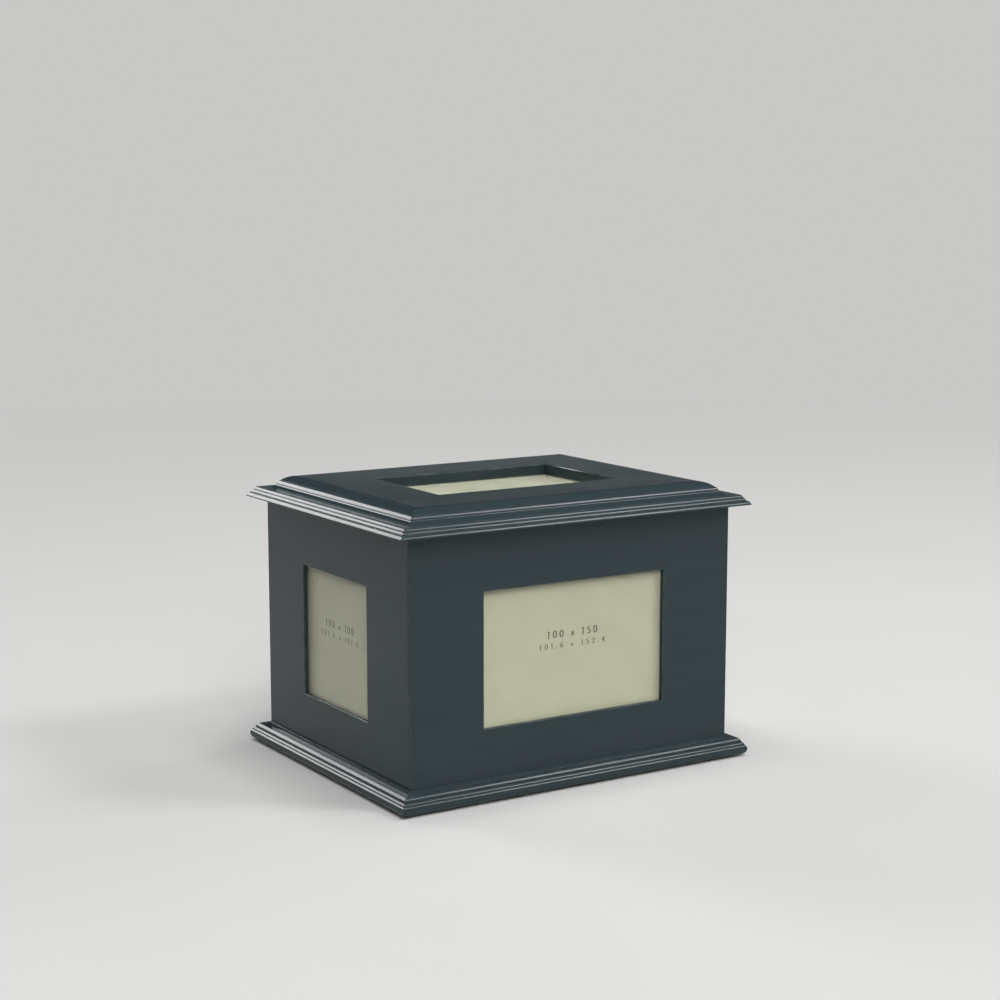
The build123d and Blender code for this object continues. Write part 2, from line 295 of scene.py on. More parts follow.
class Outline:
    """A closed profile drawn edge by edge in millimetres, clockwise from its lower outer corner."""

    ARC_STEPS = 10
    SHARP = math.radians(25.0)
    CORNER_POINTS = 5
    LARGEST_SHARE = 0.42

    def __init__(self, u: float, v: float) -> None:
        """Start at (u, v)."""
        self.runs: list[np.ndarray] = [np.array([[u, v]])]

    @property
    def at(self) -> np.ndarray:
        """The point that the profile has reached."""
        return self.runs[-1][-1]

    def line(self, du: float, dv: float) -> "Outline":
        """Straight edge by (du, dv)."""
        self.runs.append(self.at[None, :] + np.array([[du, dv]]))
        return self

    def arc(self, du: float, dv: float, sagitta: float) -> "Outline":
        """Arc by (du, dv): points at even angles on the circle with that sagitta over that chord.

        Args:
            du: chord inwards.
            dv: chord upwards.
            sagitta: positive bulges out of the wood, negative hollows it.

        Returns:
            The outline itself.
        """
        chord, rise = math.hypot(du, dv), abs(sagitta)
        radius = (chord * chord / 4 + rise * rise) / (2 * rise)
        half = math.asin(min(1.0, chord / (2 * radius)))
        angle = np.linspace(-half, half, self.ARC_STEPS + 1)[1:]
        along = radius * np.sin(angle) + chord / 2
        out = math.copysign(1.0, sagitta) * (radius * np.cos(angle) - (radius - rise))
        forward = np.array([du, dv]) / chord
        outward = np.array([-forward[1], forward[0]])
        self.runs.append(self.at + along[:, None] * forward + out[:, None] * outward)
        return self

    def bead(self, size: Pair, roundness: float) -> "Outline":
        """Small convex round; roundness is its sagitta as a share of its chord."""
        return self.arc(*size, roundness * math.hypot(*size))

    def cove(self, size: Pair, hollow: float) -> "Outline":
        """Hollow; its sagitta is that share of its chord."""
        return self.bead(size, -hollow)

    def round_to_level(self, du: float, dv: float) -> "Outline":
        """Convex round by (du, dv) that ends level."""
        return self.arc(du, dv, math.hypot(du, dv) / 2 * math.tan(math.atan2(dv, du) / 2))

    def through(self, middle: Pair, last: Pair, steps: int) -> "Outline":
        """Arc to the last point, on the circle through it, the middle one and the point reached.

        The centre is where the chords' perpendicular bisectors meet: 2 (middle - first, last - first) .
        centre equals the differences of the squared lengths.

        Args:
            middle: a point on the way.
            last: the point to end at.
            steps: number of straight pieces.

        Returns:
            The outline itself.
        """
        stops = np.array([self.at, middle, last])
        squares = (stops * stops).sum(axis=1)
        centre = np.linalg.solve(2 * (stops[1:] - stops[0]), squares[1:] - squares[0])
        spokes = stops - centre
        angle = np.unwrap(np.arctan2(spokes[:, 1], spokes[:, 0]))
        turn = np.linspace(angle[0], angle[2], steps + 1)[1:]
        self.runs.append(centre + np.linalg.norm(spokes[0]) * np.column_stack([np.cos(turn), np.sin(turn)]))
        return self

    def section(self, ease: float, guard: float) -> Section:
        """The profile in metres with its corners eased.

        A sharp turn becomes the quadratic curve (1-t)^2 A + 2t(1-t) C + t^2 B, where C is the corner and A
        and B lie on its two sides, at most ease from it.

        Args:
            ease: how far an eased corner reaches, in millimetres.
            guard: long edges get a point this far from each end, so that edge wear and the painted edge
                highlight stay by the corner.

        Returns:
            The closed section.
        """
        points = _guarded(np.concatenate(self.runs), guard)
        before = np.roll(points, 1, axis=0) - points
        after = np.roll(points, -1, axis=0) - points
        length_before = np.linalg.norm(before, axis=1)
        length_after = np.linalg.norm(after, axis=1)
        cross = -before[:, 0] * after[:, 1] + before[:, 1] * after[:, 0]
        turn = np.arctan2(cross, -(before * after).sum(axis=1))
        corner = np.abs(turn) > self.SHARP
        reach = np.minimum(ease, self.LARGEST_SHARE * np.minimum(length_before, length_after)) * corner
        t = np.linspace(0.0, 1.0, self.CORNER_POINTS)[None, :, None]
        start = points + before / length_before[:, None] * reach[:, None]
        end = points + after / length_after[:, None] * reach[:, None]
        curve = (1 - t) ** 2 * start[:, None] + 2 * t * (1 - t) * points[:, None] + t ** 2 * end[:, None]
        middle = np.arange(self.CORNER_POINTS) == self.CORNER_POINTS // 2
        keep = corner[:, None] | middle[None, :]
        edge = np.where(corner, -np.sign(turn), 0.0)[:, None] * np.ones(self.CORNER_POINTS)
        return Section(curve[keep] * MM, edge[keep])


def _guarded(points: np.ndarray, guard: float) -> np.ndarray:
    """A closed outline with a point at distance guard from both ends of each edge longer than four guards."""
    step = np.roll(points, -1, axis=0) - points
    length = np.linalg.norm(step, axis=1)
    long = length > 4 * guard
    share = np.stack([np.zeros(len(points)), guard / length, 1 - guard / length], axis=1)
    keep = np.stack([np.ones(len(points), bool), long, long], axis=1)
    return (points[:, None] + share[:, :, None] * step[:, None])[keep]


def at_depth(flat: np.ndarray, y: float) -> np.ndarray:
    """Rows of (x, z) as points in the plane at y of a local frame."""
    return np.insert(flat, 1, y, axis=1)


def rounded_rectangle(half_x: float, half_z: float, radius: float, steps: int = 6) -> np.ndarray:
    """Outline of a rectangle whose corners are quarter circles of that radius, as (x, z) rows."""
    angle = np.arange(4)[:, None] * QUARTER + np.linspace(0.0, QUARTER, steps)[None, :]
    sign_x = np.array([1, -1, -1, 1])[:, None]
    sign_z = np.array([1, 1, -1, -1])[:, None]
    x = sign_x * (half_x - radius) + radius * np.cos(angle)
    z = sign_z * (half_z - radius) + radius * np.sin(angle)
    return np.stack([x.ravel(), z.ravel()], axis=1)


def slab(half_x: float, half_z: float, faces: Pair, corner: float, ease: float) -> Shell:
    """A sheet in a local frame: a rounded rectangle, carried through its thickness with eased edges.

    Its rings are drawn in by ease * (1 - sin a) at depth ease * (1 - cos a), a from 0 to 90 degrees; the
    first and the last lie on the faces, inside the edges' wear.

    Args:
        half_x: half its length.
        half_z: half its height.
        faces: y of its front and back face.
        corner: radius of its corners.
        ease: radius of its edges.

    Returns:
        The closed skin.
    """
    angle = np.linspace(0.0, QUARTER, 5)
    inset, depth = ease * (1 - np.sin(angle)), ease * (1 - np.cos(angle))
    on_face = [4 * ease]
    insets = np.concatenate([on_face, inset, inset[::-1], on_face])
    levels = np.concatenate([faces[:1], faces[0] + depth, faces[1] - depth[::-1], faces[1:]])
    rings = np.array([at_depth(rounded_rectangle(half_x - inwards, half_z - inwards, corner), level)
                      for inwards, level in zip(insets, levels)])
    wear = np.ones((len(rings), 1))
    wear[[0, -1]] = 0.0
    return Shell.tube(rings, wear)


def mitred_bar(section: Section, half: float, open_joint: float,
               stations: list[tuple[float, np.ndarray]] | None = None) -> Shell:
    """A profile carried along x, with both ends mitred: a point at depth u ends at half - u.

    At each end the profile is drawn in by open_joint, so that two bars that meet leave a fine groove.

    Args:
        section: the profile.
        half: half the bar's outer length.
        open_joint: depth of the groove at the mitre.
        stations: (x, profile points) for places where the profile changes, from left to right.

    Returns:
        The closed skin, in a local frame.
    """
    tight, full = section.shrunk(open_joint), section.points
    groove_width, groove_edge = 1.6 * open_joint, -0.7
    near = half - full[:, 0] - groove_width
    runs = [(tight[:, 0] - half, tight), (-near, full)]
    runs += [(np.clip(x, -near, near), profile) for x, profile in stations or ()]
    runs += [(near, full), (half - tight[:, 0], tight)]
    edge = np.tile(section.edge, (len(runs), 1))
    edge[[0, -1]] = groove_edge
    return Shell.tube(np.array([np.column_stack(run) for run in runs]), edge)


# ---------------------------------------------------------------- shader building
class Nodes:
    """A thin hand for one node tree."""

    def __init__(self, tree: bpy.types.NodeTree) -> None:
        """Work on that tree."""
        self.tree = tree

    def add(self, kind: str, **inputs: object) -> bpy.types.Node:
        """Add a node.

        Args:
            kind: the node's type without the leading ShaderNode.
            inputs: values or sockets for its inputs, by name with _ for a space; a name that is not an input
                sets the node's own property.

        Returns:
            The node.
        """
        node = self.tree.nodes.new(f"ShaderNode{kind}")
        for name, value in inputs.items():
            label = name.replace("_", " ")
            if label in node.inputs:
                self.put(value, node.inputs[label])
            else:
                setattr(node, name, value)
        return node

    def put(self, value: object, socket: Socket) -> None:
        """Link a socket to an input, or set the input's own value; a colour gets full alpha."""
        if isinstance(value, Socket):
            self.tree.links.new(value, socket)
        elif socket.type == "RGBA":
            socket.default_value = (*value, 1.0)
        else:
            socket.default_value = value

    def maths(self, operation: str, first: object, second: object) -> Socket:
        """One step of arithmetic on values."""
        node = self.add("Math", operation=operation)
        self.put(first, node.inputs[0])
        self.put(second, node.inputs[1])
        return node.outputs[0]

    def times(self, first: object, second: object) -> Socket:
        """Product of two values."""
        return self.maths("MULTIPLY", first, second)

    def plus(self, first: object, second: object) -> Socket:
        """Sum of two values."""
        return self.maths("ADD", first, second)

    def mix(self, share: object, first: object, second: object) -> Socket:
        """Mix two colours."""
        node = self.add("Mix", data_type="RGBA")
        for value, number in ((share, 0), (first, 6), (second, 7)):
            self.put(value, node.inputs[number])
        return node.outputs[2]

    def over(self, base: object, coat: object, mask: Socket, share: float) -> Socket:
        """A colour with another over it where the mask is high, up to that share."""
        return self.mix(self.times(mask, share), base, coat)

    def blend(self, share: Socket, first: bpy.types.Node, second: bpy.types.Node) -> None:
        """Mix two shaders into the material's surface."""
        both = self.add("MixShader")
        for socket, number in ((share, 0), (first.outputs[0], 1), (second.outputs[0], 2)):
            self.put(socket, both.inputs[number])
        self.put(both.outputs[0], self.tree.nodes["Material Output"].inputs["Surface"])

    def spread(self, value: object, low: float, high: float, to_low: float = 0.0,
               to_high: float = 1.0) -> Socket:
        """Map a value from one range to another and stay inside it."""
        node = self.add("MapRange", Value=value, From_Min=low, From_Max=high, To_Min=to_low, To_Max=to_high)
        return node.outputs[0]

    def noise(self, vector: object, scale: float, detail: float = 3.0, roughness: float = 0.55) -> Socket:
        """Noise at a place, from 0 to 1; scale is lumps to the metre."""
        return self.add("TexNoise", Vector=vector, Scale=scale, Detail=detail, Roughness=roughness).outputs[0]

    def stretched(self, vector: object, share: float) -> Socket:
        """A place whose x is scaled by that share, so that noise is drawn out along x."""
        return self.add("Mapping", Vector=vector, Scale=(share, 1.0, 1.0)).outputs[0]

    def effect(self, group: bpy.types.NodeTree, where: Socket, **inputs: float) -> bpy.types.NodeOutputs:
        """Place an effect's group, and give its outputs."""
        return self.add("Group", node_tree=group, Vector=where, **inputs).outputs

    def bump(self, height: Socket, depth: float) -> Socket:
        """A normal from a height of 0 to 1 that stands for that depth in metres."""
        return self.add("Bump", Height=height, Distance=depth, Strength=1.0).outputs[0]

    def shader(self, **inputs: object) -> bpy.types.Node:
        """Set inputs of the tree's Principled shader, by name with _ for a space, and give the shader."""
        shader = self.tree.nodes["Principled BSDF"]
        for name, value in inputs.items():
            self.put(value, shader.inputs[name.replace("_", " ")])
        return shader


class Effects:
    """Shader groups that more than one finish uses, each built once."""

    @staticmethod
    def start(name: str, outputs: tuple[str, ...],
              scaled: bool = False) -> tuple[Nodes, bpy.types.NodeOutputs, bpy.types.NodeInputs]:
        """Begin a group.

        Args:
            name: the group's name.
            outputs: names of its value outputs.
            scaled: it takes a Scale beside its Vector.

        Returns:
            A hand for the group, what it is given and what it puts out.
        """
        tree = bpy.data.node_groups.new(name, "ShaderNodeTree")
        tree.interface.new_socket("Vector", in_out="INPUT", socket_type="NodeSocketVector")
        if scaled:
            tree.interface.new_socket("Scale", in_out="INPUT", socket_type="NodeSocketFloat")
        for label in outputs:
            tree.interface.new_socket(label, in_out="OUTPUT", socket_type="NodeSocketFloat")
        given, result = tree.nodes.new("NodeGroupInput"), tree.nodes.new("NodeGroupOutput")
        return Nodes(tree), given.outputs, result.inputs

    @staticmethod
    @cache
    def edge_wear() -> bpy.types.NodeTree:
        """Worn and painted-highlight arrises, and dusty crevices, from the points' edge values, broken up by
        noise.
        """
        nodes, given, result = Effects.start("edge_wear", ("Rub", "Dust"), scaled=True)
        edge = nodes.add("Attribute", attribute_name="edge").outputs["Fac"]
        lumps = nodes.add("TexNoise", Vector=given["Vector"], Scale=given["Scale"], Detail=4.0).outputs[0]
        # Arris mask: wear, and in the lacquer also a painted highlight along the edges.
        nodes.put(nodes.times(nodes.spread(edge, 0.25, 1.0), nodes.spread(lumps, 0.4, 0.68)), result["Rub"])
        crevice = nodes.spread(nodes.times(edge, -1.0), 0.1, 1.0)
        nodes.put(nodes.times(crevice, nodes.spread(lumps, 0.3, 0.6, 0.4, 1.0)), result["Dust"])
        return nodes.tree

    @staticmethod
    @cache
    def wood_grain() -> bpy.types.NodeTree:
        """Long grain under a finish: noise drawn out along x of its vector, with finer pores on it."""
        nodes, given, result = Effects.start("wood_grain", ("Figure", "Pores"))
        figure = nodes.noise(nodes.stretched(given["Vector"], 0.06), 260.0, 4.0)
        pores = nodes.noise(nodes.stretched(given["Vector"], 0.035), 2600.0, 2.0)
        nodes.put(nodes.spread(figure, 0.3, 0.7), result["Figure"])
        nodes.put(nodes.spread(pores, 0.42, 0.58), result["Pores"])
        return nodes.tree

    @staticmethod
    @cache
    def handling() -> bpy.types.NodeTree:
        """Soft cloudy marks left by hands and cloths."""
        nodes, given, result = Effects.start("handling", ("Marks",))
        nodes.put(nodes.spread(nodes.noise(given["Vector"], 26.0, 5.0, 0.6), 0.38, 0.66), result["Marks"])
        return nodes.tree

    @staticmethod
    @cache
    def fibres() -> bpy.types.NodeTree:
        """Matted fibres: two crossed sets of drawn-out noise; flecks lie where both are high."""
        nodes, given, result = Effects.start("fibres", ("Mat", "Flecks"), scaled=True)
        sets = []
        for turn in (0.5, -0.9):
            laid = nodes.add("Mapping", Vector=given["Vector"], Rotation=(turn, turn, turn),
                             Scale=(0.12, 1.0, 1.0))
            lumps = nodes.add("TexNoise", Vector=laid.outputs[0], Scale=given["Scale"], Detail=3.0)
            sets.append(lumps.outputs[0])
        nodes.put(nodes.spread(nodes.maths("MAXIMUM", *sets), 0.4, 0.75), result["Mat"])
        nodes.put(nodes.spread(nodes.times(*sets), 0.33, 0.42), result["Flecks"])
        return nodes.tree


# ---------------------------------------------------------------- finishes
class Grain(Enum):
    """The way that a board's grain runs, as a turn about Z."""

    ALONG_X = 0.0
    ALONG_Y = QUARTER


@dataclass(frozen=True)
class Finish:
    """A material by name: object coordinates turned with the grain, a Principled shader and its output."""

    name: str

    def material(self, grain: Grain = Grain.ALONG_X) -> bpy.types.Material:
        """The material, with its pattern running along the grain."""
        material = bpy.data.materials.new(self.name)
        material.use_nodes = True
        nodes = Nodes(material.node_tree)
        where = nodes.add("TexCoord").outputs["Object"]
        turned = nodes.add("Mapping", Vector=where, Rotation=(0.0, 0.0, grain.value))
        self.paint(nodes, turned.outputs[0])
        return material

    def paint(self, nodes: Nodes, where: Socket) -> None:
        """Set up the shader; each finish does it in its own way.

        Args:
            nodes: a hand for the material's tree.
            where: the place on the piece, with x along the grain.
        """
        raise NotImplementedError


@dataclass(frozen=True)
class Lacquer(Finish):
    """Satin black lacquer with a blue-green cast over close-grained wood."""

    body: Colour = (0.028, 0.043, 0.048)
    pale: Colour = (0.036, 0.053, 0.058)
    # Lighter colour on arrises: worn lacquer and a painted highlight along the edges.
    rubbed: Colour = (0.100, 0.115, 0.115)
    dusty: Colour = (0.070, 0.075, 0.070)
    roughness: float = 0.14

    def paint(self, nodes: Nodes, where: Socket) -> None:
        """Grain under the film, wear and a painted highlight on arrises, dusty quirks and faint orange peel.
        """
        figure = nodes.effect(Effects.wood_grain(), where)
        wear = nodes.effect(Effects.edge_wear(), where, Scale=90.0)
        marks = nodes.effect(Effects.handling(), where)["Marks"]
        colour = nodes.over(self.body, self.pale, figure["Figure"], share=0.4)
        # Arrises lighter: partly worn lacquer, partly a painted highlight along the edges.
        colour = nodes.over(colour, self.rubbed, wear["Rub"], share=0.5)
        colour = nodes.over(colour, self.dusty, wear["Dust"], share=0.12)
        rough = nodes.plus(nodes.times(marks, 0.05), self.roughness)
        rough = nodes.plus(rough, nodes.times(wear["Dust"], 0.15))
        height = nodes.plus(nodes.times(figure["Pores"], 0.5), nodes.noise(where, 700.0, 2.0))
        nodes.shader(Base_Color=colour, Roughness=rough, IOR=1.28, Normal=nodes.bump(height, 0.0015 * MM))


@dataclass(frozen=True)
class PaintedBoard(Finish):
    """Bottom panel: thin board sprayed matt black, its fibres showing through."""

    body: Colour = (0.020, 0.026, 0.029)
    pale: Colour = (0.034, 0.040, 0.042)

    def paint(self, nodes: Nodes, where: Socket) -> None:
        """Fibres in colour and relief, and marks in the gloss."""
        mat = nodes.effect(Effects.fibres(), where, Scale=900.0)["Mat"]
        marks = nodes.effect(Effects.handling(), where)["Marks"]
        nodes.shader(Base_Color=nodes.over(self.body, self.pale, mat, share=0.6),
                     Roughness=nodes.spread(marks, 0.0, 1.0, 0.52, 0.66), Normal=nodes.bump(mat, 0.02 * MM))


@dataclass(frozen=True)
class Hardboard(Finish):
    """Backing boards: brown pressed fibreboard, smooth side out, with darker flecks and furred edges."""

    body: Colour = (0.175, 0.098, 0.050)
    pale: Colour = (0.275, 0.168, 0.094)
    fleck: Colour = (0.060, 0.033, 0.018)

    def paint(self, nodes: Nodes, where: Socket) -> None:
        """Fibres, clouds and flecks in the colour, pale furred edges."""
        fibres = nodes.effect(Effects.fibres(), where, Scale=520.0)
        wear = nodes.effect(Effects.edge_wear(), where, Scale=150.0)
        cloud = nodes.spread(nodes.noise(where, 34.0, 4.0), 0.35, 0.65)
        colour = nodes.over(self.body, self.pale, fibres["Mat"], share=0.5)
        colour = nodes.over(colour, self.body, cloud, share=0.3)
        colour = nodes.over(colour, self.fleck, fibres["Flecks"], share=0.25)
        colour = nodes.over(colour, self.pale, wear["Rub"], share=0.6)
        nodes.shader(Base_Color=colour, Roughness=nodes.spread(fibres["Mat"], 0.0, 1.0, 0.62, 0.78),
                     Normal=nodes.bump(fibres["Mat"], 0.03 * MM))


@dataclass(frozen=True)
class Card(Finish):
    """Insert cards: uncoated cream stock with a faint tooth."""

    body: Colour = (0.405, 0.376, 0.282)
    deep: Colour = (0.353, 0.327, 0.243)

    def paint(self, nodes: Nodes, where: Socket) -> None:
        """Tooth and soft clouds between two creams."""
        mat = nodes.effect(Effects.fibres(), where, Scale=1500.0)["Mat"]
        cloud = nodes.spread(nodes.noise(where, 45.0, 3.0), 0.35, 0.65)
        share = nodes.plus(nodes.times(mat, 0.45), nodes.times(cloud, 0.35))
        nodes.shader(Base_Color=nodes.mix(share, self.body, self.deep), Roughness=0.72,
                     Normal=nodes.bump(mat, 0.006 * MM))


@dataclass(frozen=True)
class Ink(Finish):
    """Numerals on the cards: soft black printing ink, thinner where the paper's tooth is high."""

    body: Colour = (0.028, 0.028, 0.025)
    thin: Colour = (0.085, 0.082, 0.070)

    def paint(self, nodes: Nodes, where: Socket) -> None:
        """The paper's tooth in the ink's depth."""
        mat = nodes.effect(Effects.fibres(), where, Scale=2200.0)["Mat"]
        nodes.shader(Base_Color=nodes.over(self.body, self.thin, mat, share=0.7), Roughness=0.6)


@dataclass(frozen=True)
class PaneGlass(Finish):
    """Clear float glass with a faint green cast; lamps shine through it without being bent."""

    tint: Colour = (0.955, 0.985, 0.970)
    roughness: float = 0.015

    def paint(self, nodes: Nodes, where: Socket) -> None:
        """Glass for what is seen, a clear sheet for the lamps' shadow rays."""
        marks = nodes.effect(Effects.handling(), where)["Marks"]
        rough = nodes.spread(marks, 0.0, 1.0, self.roughness, 2.5 * self.roughness)
        glass = nodes.shader(Base_Color=self.tint, Roughness=rough, IOR=1.12, Transmission_Weight=1.0)
        clear = nodes.add("BsdfTransparent", Color=self.tint)
        nodes.blend(nodes.add("LightPath").outputs["Is Shadow Ray"], glass, clear)


@dataclass(frozen=True)
class Brass(Finish):
    """Rolled and stamped brass, brushed along the sheet, a little browned, and dark in its crevices."""

    bright: Colour = (0.80, 0.60, 0.30)
    brown: Colour = (0.42, 0.27, 0.12)
    dark: Colour = (0.060, 0.038, 0.018)

    def paint(self, nodes: Nodes, where: Socket) -> None:
        """Brush lines in gloss and relief, tarnish and grime in the colour."""
        lines = nodes.noise(nodes.stretched(where, 0.04), 5200.0, 2.0)
        marks = nodes.effect(Effects.handling(), where)["Marks"]
        tarnish = nodes.spread(nodes.noise(where, 240.0, 4.0), 0.45, 0.75)
        grime = nodes.effect(Effects.edge_wear(), where, Scale=400.0)["Dust"]
        colour = nodes.over(self.bright, self.brown, tarnish, share=0.55)
        colour = nodes.over(colour, self.dark, grime, share=0.9)
        rough = nodes.plus(nodes.spread(lines, 0.3, 0.7, 0.22, 0.34), nodes.times(marks, 0.08))
        nodes.shader(Base_Color=colour, Roughness=rough, Metallic=1.0, Normal=nodes.bump(lines, 0.003 * MM))


@dataclass(frozen=True)
class Felt(Finish):
    """Pressed wool felt, charcoal, with stray paler fibres."""

    body: Colour = (0.016, 0.017, 0.018)
    stray: Colour = (0.075, 0.078, 0.080)

    def paint(self, nodes: Nodes, where: Socket) -> None:
        """Fibres in colour and relief, with a sheen."""
        mat = nodes.effect(Effects.fibres(), where, Scale=1600.0)["Mat"]
        nodes.shader(Base_Color=nodes.mix(mat, self.body, self.stray), Roughness=0.95, Sheen_Weight=0.35,
                     Sheen_Roughness=0.5, Normal=nodes.bump(mat, 0.12 * MM))


class Wardrobe:
    """Every finish of the box, made once."""

    def __init__(self) -> None:
        """Mix the finishes."""
        self.lacquer = {way: Lacquer(f"satin_black_lacquer_{way.name.lower()}").material(way)
                        for way in Grain}
        self.board = PaintedBoard("matt_black_board").material()
        self.hardboard = Hardboard("brown_hardboard").material()
        self.card = Card("cream_card").material()
        self.ink = Ink("black_ink").material()
        self.glass = PaneGlass("pane_glass").material()
        self.brass = Brass("satin_brass").material()
        self.felt = Felt("charcoal_felt").material()

    def lacquer_for(self, side: Side) -> bpy.types.Material:
        """Lacquer with its grain along that side."""
        return self.lacquer[Grain.ALONG_X if side.along_x else Grain.ALONG_Y]


def show(name: str, mesh: bpy.types.Mesh, material: bpy.types.Material) -> bpy.types.Object:
    """Put a mesh into the scene as an object of that name, in that finish."""
    piece = bpy.data.objects.new(name, mesh)
    mesh.materials.append(material)
    bpy.context.scene.collection.objects.link(piece)
    LOG.info("%s: %d points, %d faces", name, len(mesh.vertices), len(mesh.polygons))
    return piece


def dress(node: str, skin: Shell, material: bpy.types.Material, smooth_below: float = SMOOTH_BELOW) -> None:
    """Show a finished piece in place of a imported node, on the node's own body.

    Args:
        node: the node that the piece stands for.
        skin: its shell, in the box's frame.
        material: its finish.
        smooth_below: edges that turn by fewer degrees than this are shaded smooth.
    """
    piece = show(f"{node}_finished", skin.mesh(f"{node}_skin", smooth_below), material)
    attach(piece, frame["nodes"][node]["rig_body"])
    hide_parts(node)


# ---------------------------------------------------------------- carcase
MOULDING_SMOOTH = 30.0
FELT_SMOOTH = 60.0
SEAT_PLAY = 0.1 * MM
SEAT_DEPTH = 1.0 * MM


@dataclass
class Carcase:
    """Four mitred walls on a mitred foot moulding, a bottom panel in their groove, and felt pads.

    The moulding's sizes are millimetres, each (inwards, upwards), from its bull nose to the wall. The ledge
    is the level step between the fillet bead and the cove.
    """

    finishes: Wardrobe
    corner_radius: float = 1.0 * MM
    # Edge value on the rounded outer corners, for wear and a painted highlight along the corner.
    corner_wear: float = 0.8
    top_ease: float = 0.55
    arris: float = 0.4 * MM
    rebate_ease: float = 0.3 * MM
    frame_lip: float = 7.0 * MM
    pane_play: float = 0.5 * MM
    groove_depth: float = 3.5
    groove_play: float = 0.15
    guard: float = 1.1 * MM
    seat_guard: float = 1.8 * MM
    open_joint: float = 0.16 * MM
    panel_corner: float = 0.5 * MM
    panel_ease: float = 0.25 * MM
    foot_projection: float = 11.0
    nose_underside: float = 2.2
    nose_widest: float = 3.6
    nose_top: Pair = (0.2, 5.0)
    nose_steps: int = 16
    bead: Pair = (1.15, 1.45)
    bead_line: float = 0.2
    quirk: Pair = (0.4, 0.6)
    fillet_bead: Pair = (1.9, 2.4)
    ledge: float = 3.1
    cove_rise: float = 1.6
    land: float = 0.1
    bead_roundness: float = 0.07
    cove_hollow: float = 0.04
    foot_ease: float = 0.16
    foot_guard: float = 1.0
    width: float = field(init=False)
    depth: float = field(init=False)
    thickness: float = field(init=False)
    height: float = field(init=False)
    foot_level: float = field(init=False)
    window_height: float = field(init=False)
    lip_depth: float = field(init=False)

    def __post_init__(self) -> None:
        """Read the walls' sizes from the frame."""
        low, high = node_box("front_wall")
        self.width, self.thickness, self.height = high - low
        self.foot_level = low[2]
        self.depth = node_size("left_wall")[1]
        glass_low, glass_high = node_box("front_glass")
        self.window_height = (glass_low[2] + glass_high[2]) / 2
        self.lip_depth = glass_low[1] - low[1]

    def spans(self, side: Side) -> Pair:
        """(length along the side, distance between the outer faces across it)."""
        return (self.width, self.depth) if side.along_x else (self.depth, self.width)

    def place(self, side: Side, level: float) -> Place:
        """Local frame of a wall, with its origin at that height."""
        return Place.on_side(side, self.spans(side)[1], level)

    def wall_section(self, guard: float) -> Section:
        """Board profile with the groove for the bottom panel; guard is how far edge wear may spread."""
        panel_low, panel_high = node_box("bottom_panel")
        thick, tall = self.thickness / MM, self.height / MM
        groove_low = (panel_low[2] - self.foot_level) / MM - self.groove_play
        groove_high = (panel_high[2] - self.foot_level) / MM + self.groove_play
        outline = Outline(0, 0).line(0, tall).line(thick, 0).line(0, groove_high - tall)
        outline.line(-self.groove_depth, 0).line(0, groove_low - groove_high).line(self.groove_depth, 0)
        return outline.line(0, -groove_low).section(self.top_ease, guard / MM)

    def wall_rings(self, section: Section, half: float) -> tuple[np.ndarray, np.ndarray]:
        """End rings of a wall, from the mitre to where its outer corner's rounding starts.

        A point at depth u < r turns on a circle of radius r - u about (half - r, r), by 0 to 45 degrees; a
        deeper point lies on the mitre, at half - u.

        Args:
            section: the wall's profile.
            half: half its outer length.

        Returns:
            The left end's rings and the right end's, each from left to right.
        """
        u, v = section.points.T
        angle = np.linspace(0.0, math.pi / 4, 7)[:, None]
        reach = np.clip(self.corner_radius - u, 0.0, None)[None, :]
        deep = np.maximum(u, self.corner_radius)[None, :]
        x = half - deep + reach * np.sin(angle)
        right = np.stack([x, deep - reach * np.cos(angle), np.broadcast_to(v, x.shape)], axis=-1)
        return (right * np.array([-1.0, 1.0, 1.0]))[::-1], right

    def wall_skin(self, section: Section, half: float, middle: list[np.ndarray],
                  skip: list[int] | None = None) -> Shell:
        """A wall from mitre to mitre: its profile's edge values, and wear and a painted highlight on its
        rounded outer corners.

        Args:
            section: its profile.
            half: half its outer length.
            middle: rings between its ends, from left to right.
            skip: the profile's edges that give way to a window along the wall.

        Returns:
            The skin.
        """
        left, right = self.wall_rings(section, half)
        rings = np.array([*left, *middle, *right])
        edge = np.tile(section.edge, (len(rings), 1))
        # Rounded outer corners: edge value for wear and for a painted highlight along the corner.
        rounding = self.corner_wear * (section.points[:, 0] < self.corner_radius)
        rounded = [*range(len(left) - 1), *range(len(rings) - len(right) + 1, len(rings))]
        edge[rounded] = np.maximum(edge[rounded], rounding)
        left_out = np.zeros((len(rings) - 1, len(rounding)), bool)
        left_out[len(left) - 1, skip or []] = True
        return Shell.tube(rings, edge, left_out)

    def window_loops(self, half_x: float, outer: tuple[float, float, float],
                     inner: tuple[float, float, float]) -> tuple[np.ndarray, np.ndarray]:
        """Rectangular loops from a wall's outer face, through its window and rebate, to its inner face.

        The arris is a quarter circle: at angle a the opening is wider by r * (1 - sin a) at depth
        r * (1 - cos a).

        Args:
            half_x: half the opening's length.
            outer: half length, lowest and highest z of the outer face.
            inner: the same of the inner face.

        Returns:
            The loops' points and their edge values.
        """
        half_z = node_size("front_glass")[2] / 2 + self.pane_play - self.frame_lip
        centre = self.window_height - self.foot_level
        opening = (half_x, centre - half_z, centre + half_z)
        thick, lip, rebate, guard, ease = (self.thickness, self.frame_lip, self.lip_depth, self.guard,
                                           self.rebate_ease)

        def loop(bounds: tuple[float, float, float], grow: float, y: float) -> np.ndarray:
            """A rectangle at depth y, grown on all sides."""
            x = (bounds[0] + grow) * np.array([-1, 1, 1, -1])
            z = np.repeat([bounds[1] - grow, bounds[2] + grow], 2)
            return at_depth(np.column_stack([x, z]), y)

